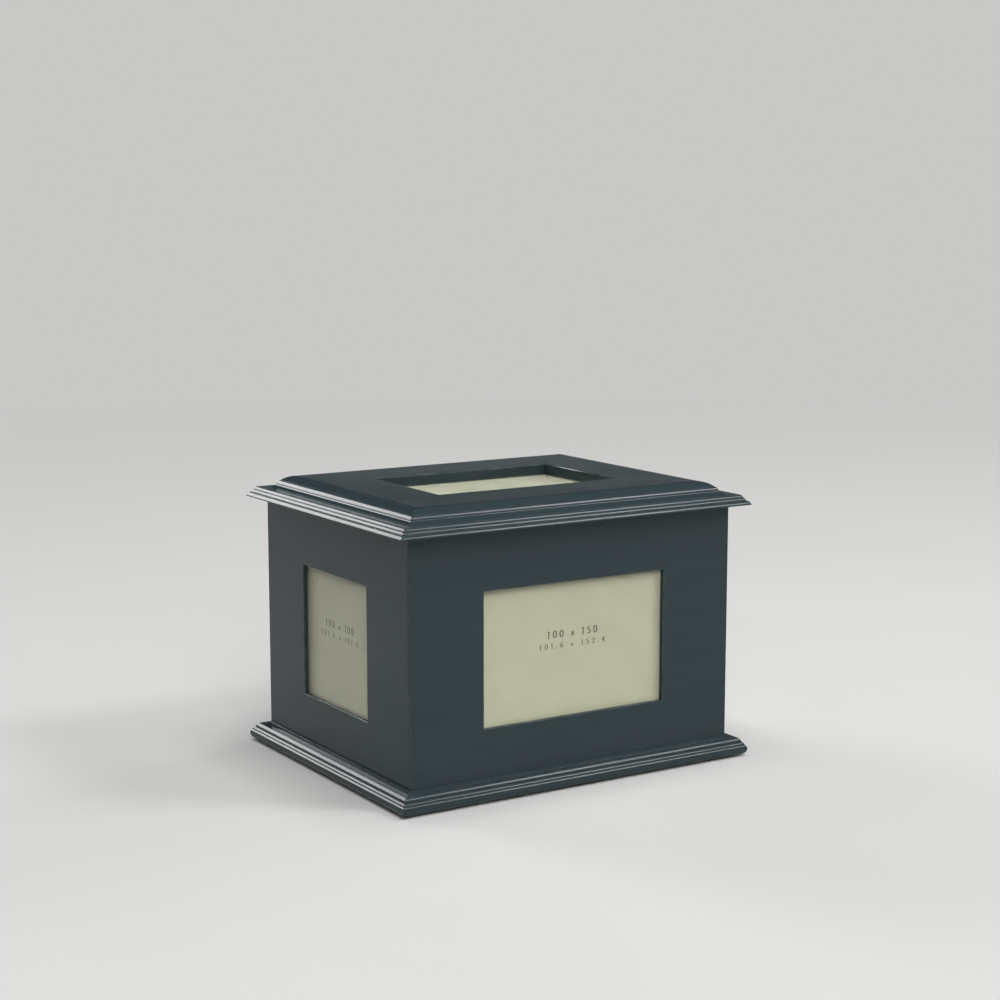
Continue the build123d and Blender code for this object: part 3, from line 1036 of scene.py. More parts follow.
        arris = [(opening, self.arris * (1 - math.sin(a)), self.arris * (1 - math.cos(a)), 1.0)
                 for a in np.linspace(0.0, QUARTER, 5)]
        steps = [(outer, 0.0, 0.0, 0.0), (outer, -guard, 0.0, 0.0), (opening, self.arris + guard, 0.0, 0.0),
                 *arris, (opening, 0.0, self.arris + guard, 0.0), (opening, 0.0, rebate, 0.0),
                 (opening, lip, rebate, -0.5), (opening, lip, thick - ease, 0.5),
                 (opening, lip + ease, thick, 0.5), (opening, lip + guard, thick, 0.0),
                 (inner, -guard, thick, 0.0), (inner, 0.0, thick, 0.0)]
        return np.array([loop(*step[:3]) for step in steps]), np.array([step[3:] for step in steps])

    def window_wall(self, side: Side) -> Shell:
        """Skin of a wall with a window: its board's skin, whose two faces give way to the window's loops."""
        half = self.spans(side)[0] / 2
        section = self.wall_section(self.guard)
        u, v = section.points.T
        rise = np.where(np.abs(np.roll(u, -1) - u) < HAIR, np.roll(v, -1) - v, 0.0)
        outer, inner = int(np.argmax(rise)), int(np.argmin(rise))
        shell = self.wall_skin(section, half, [], [outer, inner])
        pane = node_size(f"{side.word}_glass")
        opening_half = (pane[0] if side.along_x else pane[1]) / 2 + self.pane_play - self.frame_lip
        shell.grid(*self.window_loops(opening_half, (half - self.corner_radius, v[outer], v[outer + 1]),
                                      (half - self.thickness, v[inner + 1], v[inner])))
        return shell

    def back_wall(self) -> Shell:
        """Skin of the plain back wall, with a shallow seat for each hinge leaf in its top edge."""
        section = self.wall_section(self.seat_guard)
        seat = self.depth / 2 - node_box("case_hinge_leaf_right")[0][1] + SEAT_PLAY
        on_top = (section.points[:, 1] > self.height - HAIR) & (section.points[:, 0] > seat)
        top_at = int(np.flatnonzero(on_top)[0])
        twice = np.array([[seat, self.height]] * 2)
        plain = Section(np.insert(section.points, top_at, twice, axis=0),
                        np.insert(section.edge, top_at, [0, 0]))
        cut = plain.points.copy()
        eased_top = self.height - 1.2 * SEAT_DEPTH
        lowered = (cut[:, 0] < seat + HAIR) & (cut[:, 1] > eased_top)
        lowered[top_at + 1] = False
        cut[lowered, 1] -= SEAT_DEPTH
        middle = []
        for leaf in ("case_hinge_leaf_right", "case_hinge_leaf_left"):
            low, high = node_box(leaf)
            ends = ((-high[0] - SEAT_PLAY, plain.points, cut), (SEAT_PLAY - low[0], cut, plain.points))
            middle += [np.insert(profile, 0, x, axis=1) for x, *profiles in ends for profile in profiles]
        return self.wall_skin(plain, self.width / 2, middle)

    def foot_section(self) -> Section:
        """Bull nose, pair of beads, quirk, fillet bead and a cove up to the wall."""
        outline = Outline(self.foot_projection, 0).line(self.nose_underside - self.foot_projection, 0)
        outline.through((0.0, self.nose_widest), self.nose_top, self.nose_steps)
        outline.bead(self.bead, self.bead_roundness).line(0, self.bead_line)
        outline.bead(self.bead, self.bead_roundness)
        outline.line(self.quirk[0], 0).line(0, self.quirk[1])
        outline.bead(self.fillet_bead, self.bead_roundness).line(self.ledge, 0)
        cove_width = self.foot_projection - self.land - outline.at[0]
        outline.cove((cove_width, self.cove_rise), self.cove_hollow).line(self.land, 0)
        return outline.section(self.foot_ease, self.foot_guard)

    def pads(self) -> Shell:
        """Skin of the four felt pads: discs with a soft edge, their rims a little uneven."""
        low, high = node_box("felt_pads")
        radius = (high[0] - low[0] - self.width) / 2
        angle = np.linspace(0.0, 2 * math.pi, 73)[:-1]
        reaches = np.array([0.0, 0.80, 0.95, 0.985, 0.98, 0.965, 0.9, 0.0])[:, None]
        levels = np.array([0.0, 0.0, 0.04, 0.25, 0.6, 0.9, 1.0, 1.0])[:, None]
        shell = Shell()
        for number, (x, y) in enumerate(((-1, -1), (1, -1), (1, 1), (-1, 1))):
            wobble = 0.012 * np.sin(5 * angle + 2 * number) + 0.009 * np.sin(17 * angle + number)
            reach = reaches * radius * (1 + (wobble - 0.012)[None, :])
            shell.grid(np.stack([x * self.width / 2 + reach * np.cos(angle),
                                 y * self.depth / 2 + reach * np.sin(angle),
                                 levels * (high[2] - low[2]) + low[2] + 0 * reach], axis=-1))
        return shell

    def build(self) -> None:
        """Dress every piece of the carcase."""
        grow = self.foot_projection * MM
        for side in Side:
            skin = self.back_wall() if side is Side.BACK else self.window_wall(side)
            lacquer = self.finishes.lacquer_for(side)
            dress(f"{side.word}_wall", skin.moved(self.place(side, self.foot_level)), lacquer)
            along, across = self.spans(side)
            foot = mitred_bar(self.foot_section(), along / 2 + grow, self.open_joint)
            foot.moved(Place.on_side(side, across + 2 * grow, self.foot_level))
            dress(f"foot_moulding_{side.word}", foot, lacquer, MOULDING_SMOOTH)
        low, high = node_box("bottom_panel")
        half_x, half_y = (high - low)[:2] / 2
        panel = slab(half_x, half_y, (low[2], high[2]), self.panel_corner, self.panel_ease)
        dress("bottom_panel", panel.moved(Place.swapped()), self.finishes.board)
        dress("felt_pads", self.pads(), self.finishes.felt, FELT_SMOOTH)


# ---------------------------------------------------------------- what each window holds
def _bow(centre: Pair, radii: Pair, start: float, end: float) -> np.ndarray:
    """Part of an ellipse between two angles in degrees, with a point about every nine."""
    angle = np.radians(np.linspace(start, end, 2 + int(abs(end - start) / 9)))
    return np.column_stack([centre[0] + radii[0] * np.cos(angle), centre[1] + radii[1] * np.sin(angle)])


def _rule(*corners: Pair) -> np.ndarray:
    """Straight strokes from corner to corner."""
    return np.array(corners, float)


# Each sign's width and its strokes' centre lines, in units of its height, from its lower left.
SIGNS: dict[str, tuple[float, list[np.ndarray]]] = {
    "0": (0.64, [_bow((0.32, 0.5), (0.25, 0.47), 0, 360)]),
    "1": (0.46, [_rule((0.25, 0.02), (0.25, 0.97)), _rule((0.08, 0.84), (0.25, 0.95)),
                 _rule((0.08, 0.02), (0.42, 0.02))]),
    "2": (0.62, [np.vstack([_bow((0.3, 0.71), (0.22, 0.25), 165, -28), _rule((0.08, 0.04))]),
                 _rule((0.08, 0.05), (0.57, 0.05)), _rule((0.57, 0.04), (0.59, 0.17))]),
    "4": (0.64, [_rule((0.44, 0.02), (0.44, 0.97)), _rule((0.43, 0.95), (0.04, 0.3)),
                 _rule((0.04, 0.29), (0.62, 0.29)), _rule((0.29, 0.02), (0.59, 0.02))]),
    "5": (0.58, [_rule((0.17, 0.94), (0.52, 0.94)), _rule((0.17, 0.94), (0.14, 0.54)),
                 _bow((0.27, 0.31), (0.24, 0.28), 118, -150)]),
    "6": (0.62, [_bow((0.56, 0.29), (0.46, 0.67), 93, 180), _bow((0.32, 0.29), (0.22, 0.26), 0, 360)]),
    "x": (0.56, [_rule((0.08, 0.04), (0.48, 0.58)), _rule((0.08, 0.58), (0.48, 0.04))]),
    ".": (0.2, [_rule((0.1, 0.0), (0.1, 0.13))]),
    " ": (0.3, []),
}


@dataclass(frozen=True)
class Line:
    """One line of numerals, drawn with a broad pen: upright strokes are thick and level ones thin.

    Args:
        text: its signs.
        height: height of a digit.
        span: width of the whole line, which sets the space between its signs.
        drop: where its middle lies, as a share of the opening's height from the top.
        thick: an upright stroke's width, as a share of the height.
        thin: a level stroke's width, as a share of the height.
        relief: thickness of the ink.
        lift: air between the ink and the card.
    """

    text: str
    height: float
    span: float
    drop: float
    thick: float = 0.175
    thin: float = 0.065
    relief: float = 0.018 * MM
    lift: float = 0.002 * MM

    def ribbon(self, line: np.ndarray, corner: np.ndarray, y: float) -> Shell:
        """One stroke as a thin closed strip of ink.

        On each side of its centre line it reaches half of thin + (thick - thin) * |sine of its slope|.

        Args:
            line: the centre line, in units of the sign's height.
            corner: x and z of the sign's lower left.
            y: depth of the ink's face.

        Returns:
            The strip's skin.
        """
        along = np.gradient(line, axis=0)
        along /= np.linalg.norm(along, axis=1, keepdims=True)
        half = (self.thin + (self.thick - self.thin) * np.abs(along[:, 1:])) / 2
        side = np.column_stack([-along[:, 1], along[:, 0]]) * half
        left, right = corner + self.height * (line + side), corner + self.height * (line - side)
        corners = ((left, y), (right, y), (right, y + self.relief), (left, y + self.relief))
        return Shell.tube(np.stack([at_depth(flat, deep) for flat, deep in corners], axis=1))

    def strokes(self, opening: float, y: float) -> list[Shell]:
        """The line's strokes, centred on x = 0.

        Args:
            opening: the opening's height; its middle is z = 0.
            y: depth of the card's face.

        Returns:
            One skin for each stroke.
        """
        signs = [SIGNS[name] for name in self.text]
        widths = self.height * np.array([width for width, _ in signs])
        gap = (self.span - widths.sum()) / (len(signs) - 1)
        starts = -self.span / 2 + np.concatenate([[0.0], np.cumsum(widths + gap)[:-1]])
        low = opening * (0.5 - self.drop) - self.height / 2
        face = y - self.relief - self.lift
        return [self.ribbon(line, np.array([start, low]), face)
                for start, (_, centre_lines) in zip(starts, signs) for line in centre_lines]


@dataclass
class Screw:
    """A cross-recessed screw, turned about its axis with its head's underside at height 0, in metres.

    Args:
        head_radius: radius of its head.
        head_height: how far its head stands up.
        shank_radius: radius of its shank.
        shank_length: length of its shank.
        sunk: its head is flat, not domed.
        arm: length of the cross's arms, as a share of the head's radius.
        slot: half an arm's width, as a share of the head's radius.
        recess: depth of the cross, as a share of the head's height.
    """

    head_radius: float
    head_height: float
    shank_radius: float
    shank_length: float
    sunk: bool
    arm: float = 0.56
    slot: float = 0.13
    recess: float = 0.55

    def rows(self) -> np.ndarray:
        """Radius and height of the turned rings: a domed pan head, or a flat head on a conical underside."""
        shank = [(self.shank_radius, 0.0), (self.shank_radius, -self.shank_length)]
        if self.sunk:
            head = [(0.72, 1.0), (0.93, 0.99), (1.0, 0.93)]
        else:
            crown = [(reach, 1.0 - 0.16 * reach * reach) for reach in (0.62, 0.72, 0.8)]
            rim = [(0.84 + 0.16 * math.sin(a), 0.28 + 0.60 * math.cos(a))
                   for a in np.linspace(0.0, QUARTER, 7)]
            head = [*crown, *rim, (0.985, 0.0)]
        return np.concatenate([np.array(head) * [self.head_radius, self.head_height], shank])

    def skin(self, turn: float) -> Shell:
        """The screw about +z, with its cross turned by an angle.

        The recess is a plus sign: in polar form its rim lies at min(a / cos f, w / sin f), where f is the
        angle from the nearest arm, a an arm's length and w its half width.

        Args:
            turn: the cross's angle, in radians.

        Returns:
            The closed skin.
        """
        arm, half = self.arm * self.head_radius, self.slot * self.head_radius
        inside = math.atan(half / arm)
        breaks = np.concatenate([[0.0, inside, math.pi / 4, QUARTER - inside],
                                 np.linspace(0, QUARTER, 11)[:-1]])
        angle = (np.arange(4)[:, None] * QUARTER + np.unique(np.round(breaks, 6))[None, :]).ravel()
        nearest = np.abs((angle + math.pi / 4) % QUARTER - math.pi / 4)
        cross = np.minimum(arm / np.cos(nearest), half / np.maximum(np.sin(nearest), 1e-6))
        top = self.head_height * (1.0 if self.sunk else 0.97)
        deep = top - self.recess * self.head_height
        rows = self.rows()
        shares = np.array([0.0, 0.5, 0.86, 1.0, 1.04])[:, None]
        radii = np.concatenate([shares * cross, np.repeat(rows[:, :1], len(angle), axis=1)])
        heights = np.concatenate([[deep, deep, deep, top - 0.02 * self.head_height, top], rows[:, 1]])
        points = np.stack([radii * np.cos(angle + turn), radii * np.sin(angle + turn),
                           heights[:, None] + 0 * radii], axis=-1)
        rim = rows[:, 0] > 0.995 * self.head_radius
        shell = Shell()
        shell.grid(points, np.concatenate([[-1.0, -1.0, -0.8, 0.0, 0.4], np.where(rim, -0.7, 0.0)])[:, None])
        shell.cap(points[-1])
        return shell


@dataclass
class Window:
    """What one framed opening holds: pane, insert card, backing board, two turn buttons and their screws.

    Args:
        name: front, left, right or lid.
        place: local frame with its origin on the window's axis, on the outer face.
        finishes: the box's finishes.
    """

    name: str
    place: Place
    finishes: Wardrobe
    pane_gap: float = 0.05 * MM
    card_margin: float = 6.5 * MM
    square_below: float = 1.2
    upper_line: tuple[float, float, float] = (4.8 * MM, 39.0 * MM, 0.39)
    lower_line: tuple[float, float, float] = (3.5 * MM, 51.0 * MM, 0.475)
    board_recess: float = 0.1 * MM
    button_width: float = 7.0 * MM
    button_reach: float = 14.0 * MM
    button_corner: float = 1.6 * MM
    button_play: float = 0.3 * MM
    button_thickness: float = 1.0 * MM
    button_hole: float = 1.45 * MM
    button_ease: float = 0.28 * MM
    button_bevel: float = 0.08 * MM
    head_play: float = 0.2 * MM
    screw: Screw = field(default_factory=lambda: Screw(2.8 * MM, 1.7 * MM, 1.4 * MM, 2.2 * MM, False))

    def local_box(self, layer: str) -> tuple[np.ndarray, np.ndarray]:
        """Lowest and highest corner of one of the window's nodes, in the local frame."""
        corners = (np.array(node_box(f"{self.name}_{layer}")) - self.place.shift) @ self.place.turn
        return corners.min(axis=0), corners.max(axis=0)

    def sheet(self, layer: str, material: bpy.types.Material, rounding: Pair, gaps: Pair) -> None:
        """Dress a layer's node with a sheet that fills it but for a hair's breadth.

        Args:
            layer: the node's ending.
            material: its finish.
            rounding: radius of its corners and of its edges.
            gaps: air at its front and back.
        """
        low, high = self.local_box(layer)
        half = (high - low) / 2
        skin = slab(half[0], half[2], (low[1] + gaps[0], high[1] - gaps[1]), *rounding)
        dress(f"{self.name}_{layer}", skin.moved(self.place), material)

    def numerals(self) -> None:
        """Print the card's size in plain numbers; each line has its height, span and drop."""
        low, high = self.local_box("insert_card")
        square = high[0] - low[0] < self.square_below * (high[2] - low[2])
        upper, lower = ("100 x 100", "101.6 x 101.6") if square else ("100 x 150", "101.6 x 152.4")
        opening = high[2] - low[2] - 2 * self.card_margin
        lines = (Line(upper, *self.upper_line), Line(lower, *self.lower_line))
        strokes = [stroke for line in lines for stroke in line.strokes(opening, low[1] + self.pane_gap)]
        skin = Shell.joined(strokes).moved(self.place)
        piece = show(f"{self.name}_card_numerals", skin.mesh(f"{self.name}_numerals_skin"), self.finishes.ink)
        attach(piece, frame["nodes"][f"{self.name}_insert_card"]["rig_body"])

    def pivots(self) -> dict[str, float]:
        """Local z of each turn button's pivot, by the node's ending."""
        half = self.button_width / 2
        places = {}
        for end in ("back", "front") if self.name == "lid" else ("upper", "lower"):
            low, high = self.local_box(f"turn_button_{end}")
            places[end] = high[2] - half if low[2] + high[2] > 0 else low[2] + half
        return places

    def turn_button(self) -> Shell:
        """Stamped tab pointing down from its pivot hole, with its edges rounded by the press.

        Each ring is the tab's outline, or the hole's circle at the same angles, at one depth; the rings run
        from the hole over the outer face, round the edge and back under.
        """
        half, reach = self.button_width / 2, self.button_reach
        corner, ease = self.button_corner, self.button_ease
        top = np.linspace(0.0, math.pi, 25)
        bend = np.linspace(0.0, QUARTER, 7)
        xs = [half * np.cos(top), -half + corner * (1 - np.cos(bend)), half - corner * (1 - np.sin(bend))]
        zs = [half * np.sin(top), corner * (1 - np.sin(bend)) - reach, corner * (1 - np.cos(bend)) - reach]
        outline = np.column_stack([np.concatenate(xs), np.concatenate(zs)])
        length = np.linalg.norm(outline, axis=1, keepdims=True)
        hole = self.button_hole * outline / length
        tight = outline * (1 - ease / length)
        between = (outline + tight) / 2
        low, high, bevel = self.button_play, self.button_play + self.button_thickness, self.button_bevel
        rings = [(hole, high), (tight, high), (between, high - bevel), (outline, high - ease),
                 (outline, low + ease), (between, low + bevel), (tight, low), (hole, low)]
        shell = Shell()
        shell.grid(np.array([at_depth(flat, y) for flat, y in rings]),
                   np.array([0, 0.3, 1, 1, 1, 1, 0.3, 0])[:, None], loop=True)
        return shell

    def build(self) -> None:
        """Dress the window's pieces."""
        look, name = self.finishes, self.name
        self.sheet("glass", look.glass, (0.4 * MM, 0.22 * MM), (0.0, self.pane_gap))
        self.sheet("insert_card", look.card, (0.3 * MM, 0.05 * MM), (self.pane_gap, 0.0))
        self.numerals()
        self.sheet("backing_board", look.hardboard, (1.2 * MM, 0.35 * MM), (0.02 * MM, 0.0))
        depth = self.local_box("backing_board")[1][1] + self.board_recess
        head = depth + self.button_play + self.button_thickness + self.head_play
        screws = []
        for number, (end, pivot) in enumerate(self.pivots().items()):
            way = math.copysign(1.0, pivot)
            seat = Place(np.diag([way, 1.0, way]), np.array([0.0, depth, pivot]))
            dress(f"{name}_turn_button_{end}", self.turn_button().moved(seat, self.place), look.brass)
            screw = self.screw.skin(0.4 + 0.9 * number + len(name))
            screws.append(screw.moved(Place.swapped((0.0, head, pivot)), self.place))
        dress(f"{name}_button_screws", Shell.joined(screws), look.brass)


# ---------------------------------------------------------------- lid
@dataclass
class Lid:
    """Four mitred rails with a stepped and coved edge, round a rebated window.

    The edge's sizes are millimetres, each (inwards, upwards), from the lower outer arris to the flat top. The
    ledge is the level step between the pair of beads and the cove.
    """

    finishes: Wardrobe
    lip_land: float = 0.4
    lip_bead: Pair = (1.7, 2.2)
    quirk: Pair = (0.9, 0.5)
    bead: Pair = (1.4, 1.7)
    bead_line: float = 0.2
    ledge: float = 5.9
    cove: Pair = (4.2, 2.0)
    fillet_ledge: float = 0.3
    fillet_bead: Pair = (1.6, 2.6)
    shoulder: float = 9.2
    bead_roundness: float = 0.07
    cove_hollow: float = 0.11
    opening_arris: float = 0.6
    frame_lip: float = 7.0
    edge_ease: float = 0.22
    edge_guard: float = 1.0
    open_joint: float = 0.16 * MM
    knuckle_play: float = 0.3 * MM
    width: float = field(init=False)
    depth: float = field(init=False)
    level: float = field(init=False)
    top: float = field(init=False)
    rail_width: float = field(init=False)
    rebate: float = field(init=False)

    def __post_init__(self) -> None:
        """Read the lid's sizes from the frame."""
        low, high = node_box("lid_rail_front")
        self.width, self.rail_width = (high - low)[:2]
        self.level, self.top = low[2], high[2]
        self.depth = node_size("lid_rail_left")[1]
        self.rebate = node_box("lid_glass")[1][2] - low[2]

    def section(self) -> Section:
        """Profile of a rail: beads, quirk, ledge, cove, fillet bead, shoulder, flat top and rebate."""
        thick, wide, rebate = (self.top - self.level) / MM, self.rail_width / MM, self.rebate / MM
        outline = Outline(0, 0).line(0, self.lip_land).bead(self.lip_bead, self.bead_roundness)
        outline.line(self.quirk[0], 0).line(0, self.quirk[1])
        outline.bead(self.bead, self.bead_roundness).line(0, self.bead_line)
        outline.bead(self.bead, self.bead_roundness)
        outline.line(self.ledge, 0).cove(self.cove, self.cove_hollow)
        outline.bead(self.fillet_bead, self.bead_roundness).line(self.fillet_ledge, 0)
        outline.round_to_level(self.shoulder, thick - outline.at[1])
        outline.line(wide - self.opening_arris - outline.at[0], 0)
        outline.line(self.opening_arris, -self.opening_arris)
        outline.line(0, rebate + self.opening_arris - thick).line(-self.frame_lip, 0)
        return outline.line(0, -rebate).section(self.edge_ease, self.edge_guard)

    def seats(self, section: Section) -> tuple[Section, np.ndarray, np.ndarray]:
        """The back rail's profile with the hinge leaf's seat and the knuckles' channel in its underside.

        The channel is the part of a circle about the pin that lies above the underside.

        Args:
            section: the plain profile.

        Returns:
            The plain profile with the points that the seat needs, and its points with the channel alone and
            with channel and seat.
        """
        leaf_low, leaf_high = node_box("lid_hinge_leaf_right")
        pin = sum(node_box("hinge_pin_right")) / 2
        pin_u, pin_v = self.depth / 2 - pin[1], pin[2] - self.level
        radius = leaf_high[1] - pin[1] + self.knuckle_play
        seat_u = self.depth / 2 - leaf_low[1] + SEAT_PLAY

        def channel(lift: float) -> np.ndarray:
            """The channel's arc from its inner end, at that height, to its outer end on the underside."""
            angle = np.linspace(math.asin((lift - pin_v) / radius), math.pi + math.asin(pin_v / radius), 13)
            return np.column_stack([pin_u + radius * np.cos(angle), pin_v + radius * np.sin(angle)])

        low_arc, corner = channel(0.0), [[seat_u, 0.0]]
        flat = low_arc * [1.0, 0.0]
        runs = ([corner, corner, flat], [corner, corner, low_arc],
                [corner, [[seat_u, SEAT_DEPTH]], channel(SEAT_DEPTH)])
        underside = (section.points[:, 1] < HAIR) & (section.points[:, 0] > seat_u)
        at = int(np.flatnonzero(underside)[-1]) + 1
        plain, grooved, seated = (np.insert(section.points, at, np.vstack(run), axis=0) for run in runs)
        return Section(plain, np.insert(section.edge, at, np.zeros(len(flat) + 2))), grooved, seated

    def rail(self, side: Side) -> Shell:
        """Skin of one rail."""
        half = (self.width if side.along_x else self.depth) / 2
        section = self.section()
        if side is not Side.BACK:
            return mitred_bar(section, half, self.open_joint)
        section, grooved, seated = self.seats(section)
        plain = section.points
        stations = []
        for end in ("right", "left"):
            leaf_low, leaf_high = node_box(f"lid_hinge_leaf_{end}")
            pin_low, pin_high = node_box(f"hinge_pin_{end}")
            centre = -(leaf_low[0] + leaf_high[0]) / 2
            seat = (leaf_high[0] - leaf_low[0]) / 2 + SEAT_PLAY
            channel = (pin_high[0] - pin_low[0]) / 2 + self.knuckle_play
            stations += [(centre - channel, plain), (centre - channel, grooved), (centre - seat, grooved),
                         (centre - seat, seated), (centre + seat, seated), (centre + seat, grooved),
                         (centre + channel, grooved), (centre + channel, plain)]
        return mitred_bar(section, half, self.open_joint, stations)

    def build(self) -> None:
        """Dress the lid's rails."""
        for side in Side:
            place = Place.on_side(side, self.depth if side.along_x else self.width, self.level)
            dress(f"lid_rail_{side.word}", self.rail(side).moved(place), self.finishes.lacquer_for(side),
                  MOULDING_SMOOTH)


# ---------------------------------------------------------------- hinges
@dataclass
class Hinges:
    """Two butt hinges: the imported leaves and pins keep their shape, their screws are made here."""

    finishes: Wardrobe
    screw_spread: float = 24.0 * MM
    edge_break: float = 0.08 * MM
    weld: float = 0.002 * MM
    sharp: float = math.radians(50.0)
    screw: Screw = field(default_factory=lambda: Screw(2.0 * MM, 1.0 * MM, 1.1 * MM, 2.0 * MM, True))

    def dress_node(self, node: str) -> None:
        """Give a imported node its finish, and break its sharp edges as a tumbler does."""
        piece = frame["nodes"][node]
        piece.data.materials.clear()
        piece.data.materials.append(self.finishes.brass)
        piece.modifiers.new("weld", "WELD").merge_threshold = self.weld
        bevel = piece.modifiers.new("broken_edges", "BEVEL")
        bevel.width, bevel.segments = self.edge_break, 2
        bevel.limit_method, bevel.angle_limit = "ANGLE", self.sharp
        bevel.harden_normals = False
        LOG.info("%s: packed shape, brass", node)

    def screws(self, owner: str, up: float) -> Shell:
        """The four screws of the leaves on the case or on the lid; up is the way that their heads face."""
        low, high = node_box(f"{owner}_hinge_screws")
        level = (high if up > 0 else low)[2] - up * self.screw.head_height
        shells = []
        for number, side in enumerate(("left", "right")):
            middle = sum(node_box(f"{owner}_hinge_leaf_{side}")) / 2
            for way in (-1, 1):
                x = middle[0] + way * self.screw_spread / 2
                seat = Place(np.diag([1.0, up, up]), np.array([x, (low[1] + high[1]) / 2, level]))
                shells.append(self.screw.skin(0.7 * number + 0.5 * way).moved(seat))
        return Shell.joined(shells)

    def build(self) -> None:
        """Dress leaves, pins and screws."""
        for side in ("left", "right"):
            for kind in ("case_hinge_leaf", "lid_hinge_leaf", "hinge_pin"):
                self.dress_node(f"{kind}_{side}")
        for owner, up in (("case", 1.0), ("lid", -1.0)):
            dress(f"{owner}_hinge_screws", self.screws(owner, up), self.finishes.brass)


# ---------------------------------------------------------------- studio
@dataclass(frozen=True)
class Lamp:
    """A soft rectangular lamp that faces the box.

    Args:
        name: what it does.
        towards: direction from the box to the lamp.
        distance: how far off it stands.
        size: its width and height.
        radiance: how bright its face is.
        roll: how far it is turned in its own plane, in degrees.
    """

    name: str
    towards: tuple[float, float, float]
    distance: float
    size: Pair
    radiance: float
    roll: float = 0.0

    def build(self, target: np.ndarray) -> None:
        """Hang the lamp and aim it at a point."""
        data = bpy.data.lights.new(self.name, "AREA")
        data.shape = "RECTANGLE"
        data.size, data.size_y = self.size
        data.energy = self.radiance * math.pi * self.size[0] * self.size[1]
        lamp = bpy.data.objects.new(self.name, data)
        bpy.context.scene.collection.objects.link(lamp)
        way = np.array(self.towards) / np.linalg.norm(self.towards)
        lamp.location = target + way * self.distance
        lamp.rotation_mode = "QUATERNION"
        turn = Vector(-way).to_track_quat("-Z", "Y").to_matrix()
        lamp.rotation_quaternion = (turn @ Matrix.Rotation(math.radians(self.roll), 3, "Z")).to_quaternion()
        lamp.visible_camera = False


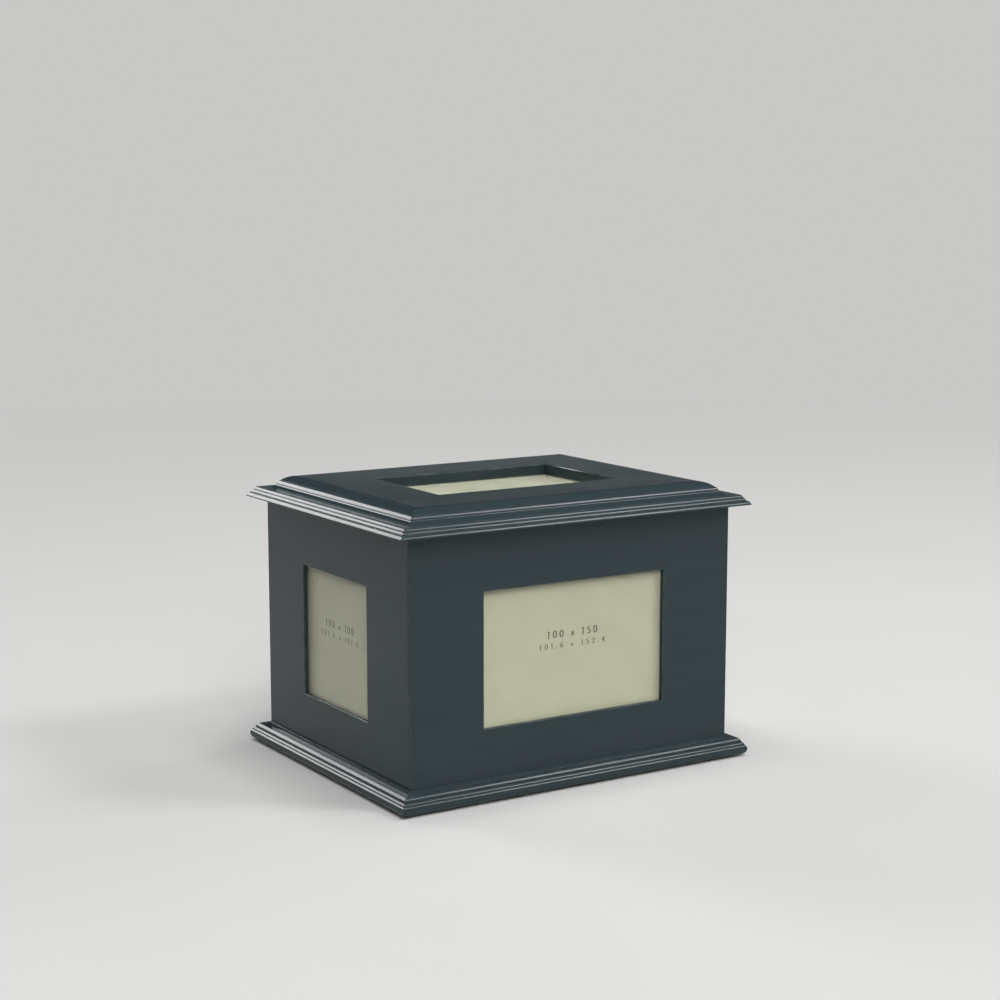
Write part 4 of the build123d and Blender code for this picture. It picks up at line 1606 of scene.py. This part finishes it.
@dataclass
class Studio:
    """Pale floor, soft lamps and the camera at the photograph's angle.

    A flat face shows the lamp that lies along the mirrored line of sight. The lamps are hung so that the left
    mouldings mirror the rim lamp, the front mouldings catch a thin line of the strip lamp, and the flat top,
    the walls and the panes mirror none. Angles are degrees; the floor is its own colour up to near metres
    from the box and as pale as the horizon from far.
    """

    azimuth: float = -32.0
    elevation: float = 12.0
    distance: float = 1.37
    centre: tuple[float, float, float] = (0.0, 0.0, 0.094)
    aim: tuple[float, float, float] = (1.071, 1.698, -0.134)
    lens: float = 71.7
    floor_colour: Colour = (0.60, 0.60, 0.59)
    floor_shade: float = 0.9
    floor_half: float = 14.0
    near: float = 0.5
    far: float = 2.4
    horizon_colour: Colour = (0.58, 0.58, 0.57)
    ceiling_colour: Colour = (0.010, 0.011, 0.012)
    horizon_top: float = 5.5
    ceiling_foot: float = 6.3
    lamps: tuple[Lamp, ...] = (
        Lamp("overhead_lamp", (0.0, -0.12, 0.99), 5.0, (3.0, 3.0), 6.6),
        Lamp("front_lamp", (-0.32, -0.78, 0.52), 5.0, (3.0, 2.4), 4.1),
        Lamp("right_fill", (0.94, 0.10, 0.33), 5.0, (2.4, 2.0), 4.4),
        Lamp("rim_lamp", (-0.31, 0.86, 0.38), 6.0, (1.5, 2.3), 9.6, 47.0),
        Lamp("strip_lamp", (0.55, -0.49, 0.675), 5.0, (1.3, 1.1), 18.0),
    )

    def floor(self) -> None:
        """Lay the floor: lit by the lamps about the box, and as pale as the horizon far off."""
        half = self.floor_half
        mesh = bpy.data.meshes.new("floor_sheet")
        mesh.from_pydata([(-half, -half, 0.0), (half, -half, 0.0), (half, half, 0.0), (-half, half, 0.0)], [],
                         [(0, 1, 2, 3)])
        material = bpy.data.materials.new("studio_floor")
        material.use_nodes = True
        nodes = Nodes(material.node_tree)
        where = nodes.add("TexCoord").outputs["Object"]
        tone = nodes.spread(nodes.noise(where, 3.0, 3.0), 0.3, 0.7, 0.0, 0.3)
        shade = tuple(self.floor_shade * part for part in self.floor_colour)
        lit = nodes.shader(Base_Color=nodes.mix(tone, self.floor_colour, shade), Roughness=0.8,
                           Specular_IOR_Level=0.2)
        plain = nodes.add("Emission", Color=self.horizon_colour, Strength=1.0)
        ray = nodes.add("LightPath").outputs
        seen = nodes.maths("MAXIMUM", nodes.maths("MAXIMUM", ray["Is Camera Ray"], ray["Is Glossy Ray"]),
                           ray["Is Transmission Ray"])
        reach = nodes.add("VectorMath", operation="LENGTH")
        nodes.put(where, reach.inputs[0])
        away = nodes.spread(reach.outputs["Value"], self.near, self.far)
        nodes.blend(nodes.times(seen, away), lit, plain)
        floor = show("floor", mesh, material)

    def world(self) -> None:
        """Pale low sky behind the floor's edge, dark above, as a studio's ceiling is."""
        world = bpy.data.worlds.new("studio")
        bpy.context.scene.world = world
        world.use_nodes = True
        nodes = Nodes(world.node_tree)
        split = nodes.add("SeparateXYZ", Vector=nodes.add("TexCoord").outputs["Generated"])
        low, high = (math.sin(math.radians(angle)) for angle in (self.horizon_top, self.ceiling_foot))
        height = nodes.spread(split.outputs["Z"], low, high)
        colour = nodes.mix(height, self.horizon_colour, self.ceiling_colour)
        nodes.put(colour, world.node_tree.nodes["Background"].inputs["Color"])

    def camera(self) -> None:
        """Set the camera."""
        azimuth, elevation = math.radians(self.azimuth), math.radians(self.elevation)
        back = Vector((math.sin(azimuth) * math.cos(elevation), -math.cos(azimuth) * math.cos(elevation),
                          math.sin(elevation)))
        data = bpy.data.cameras.new("camera")
        camera = bpy.data.objects.new("camera", data)
        bpy.context.scene.collection.objects.link(camera)
        data.lens = self.lens
        camera.location = Vector(self.centre) + back * self.distance
        camera.rotation_mode = "QUATERNION"
        camera.rotation_quaternion = (Vector(self.aim) - camera.location).to_track_quat("-Z", "Y")
        bpy.context.scene.camera = camera

    def build(self) -> None:
        """Set up floor, light and camera."""
        self.floor()
        self.world()
        for lamp in self.lamps:
            lamp.build(np.array(self.centre))
        self.camera()
        bpy.context.scene.view_settings.view_transform = "Standard"


def main() -> None:
    """Build the whole scene."""
    logging.basicConfig(level=logging.INFO, format="%(name)s %(message)s")
    finishes = Wardrobe()
    carcase = Carcase(finishes)
    carcase.build()
    for side in (Side.FRONT, Side.LEFT, Side.RIGHT):
        Window(side.word, carcase.place(side, carcase.window_height), finishes).build()
    lid = Lid(finishes)
    lid.build()
    Window("lid", Place.on_lid(lid.top), finishes).build()
    Hinges(finishes).build()
    Studio().build()


if __name__ == "__main__":
    main()
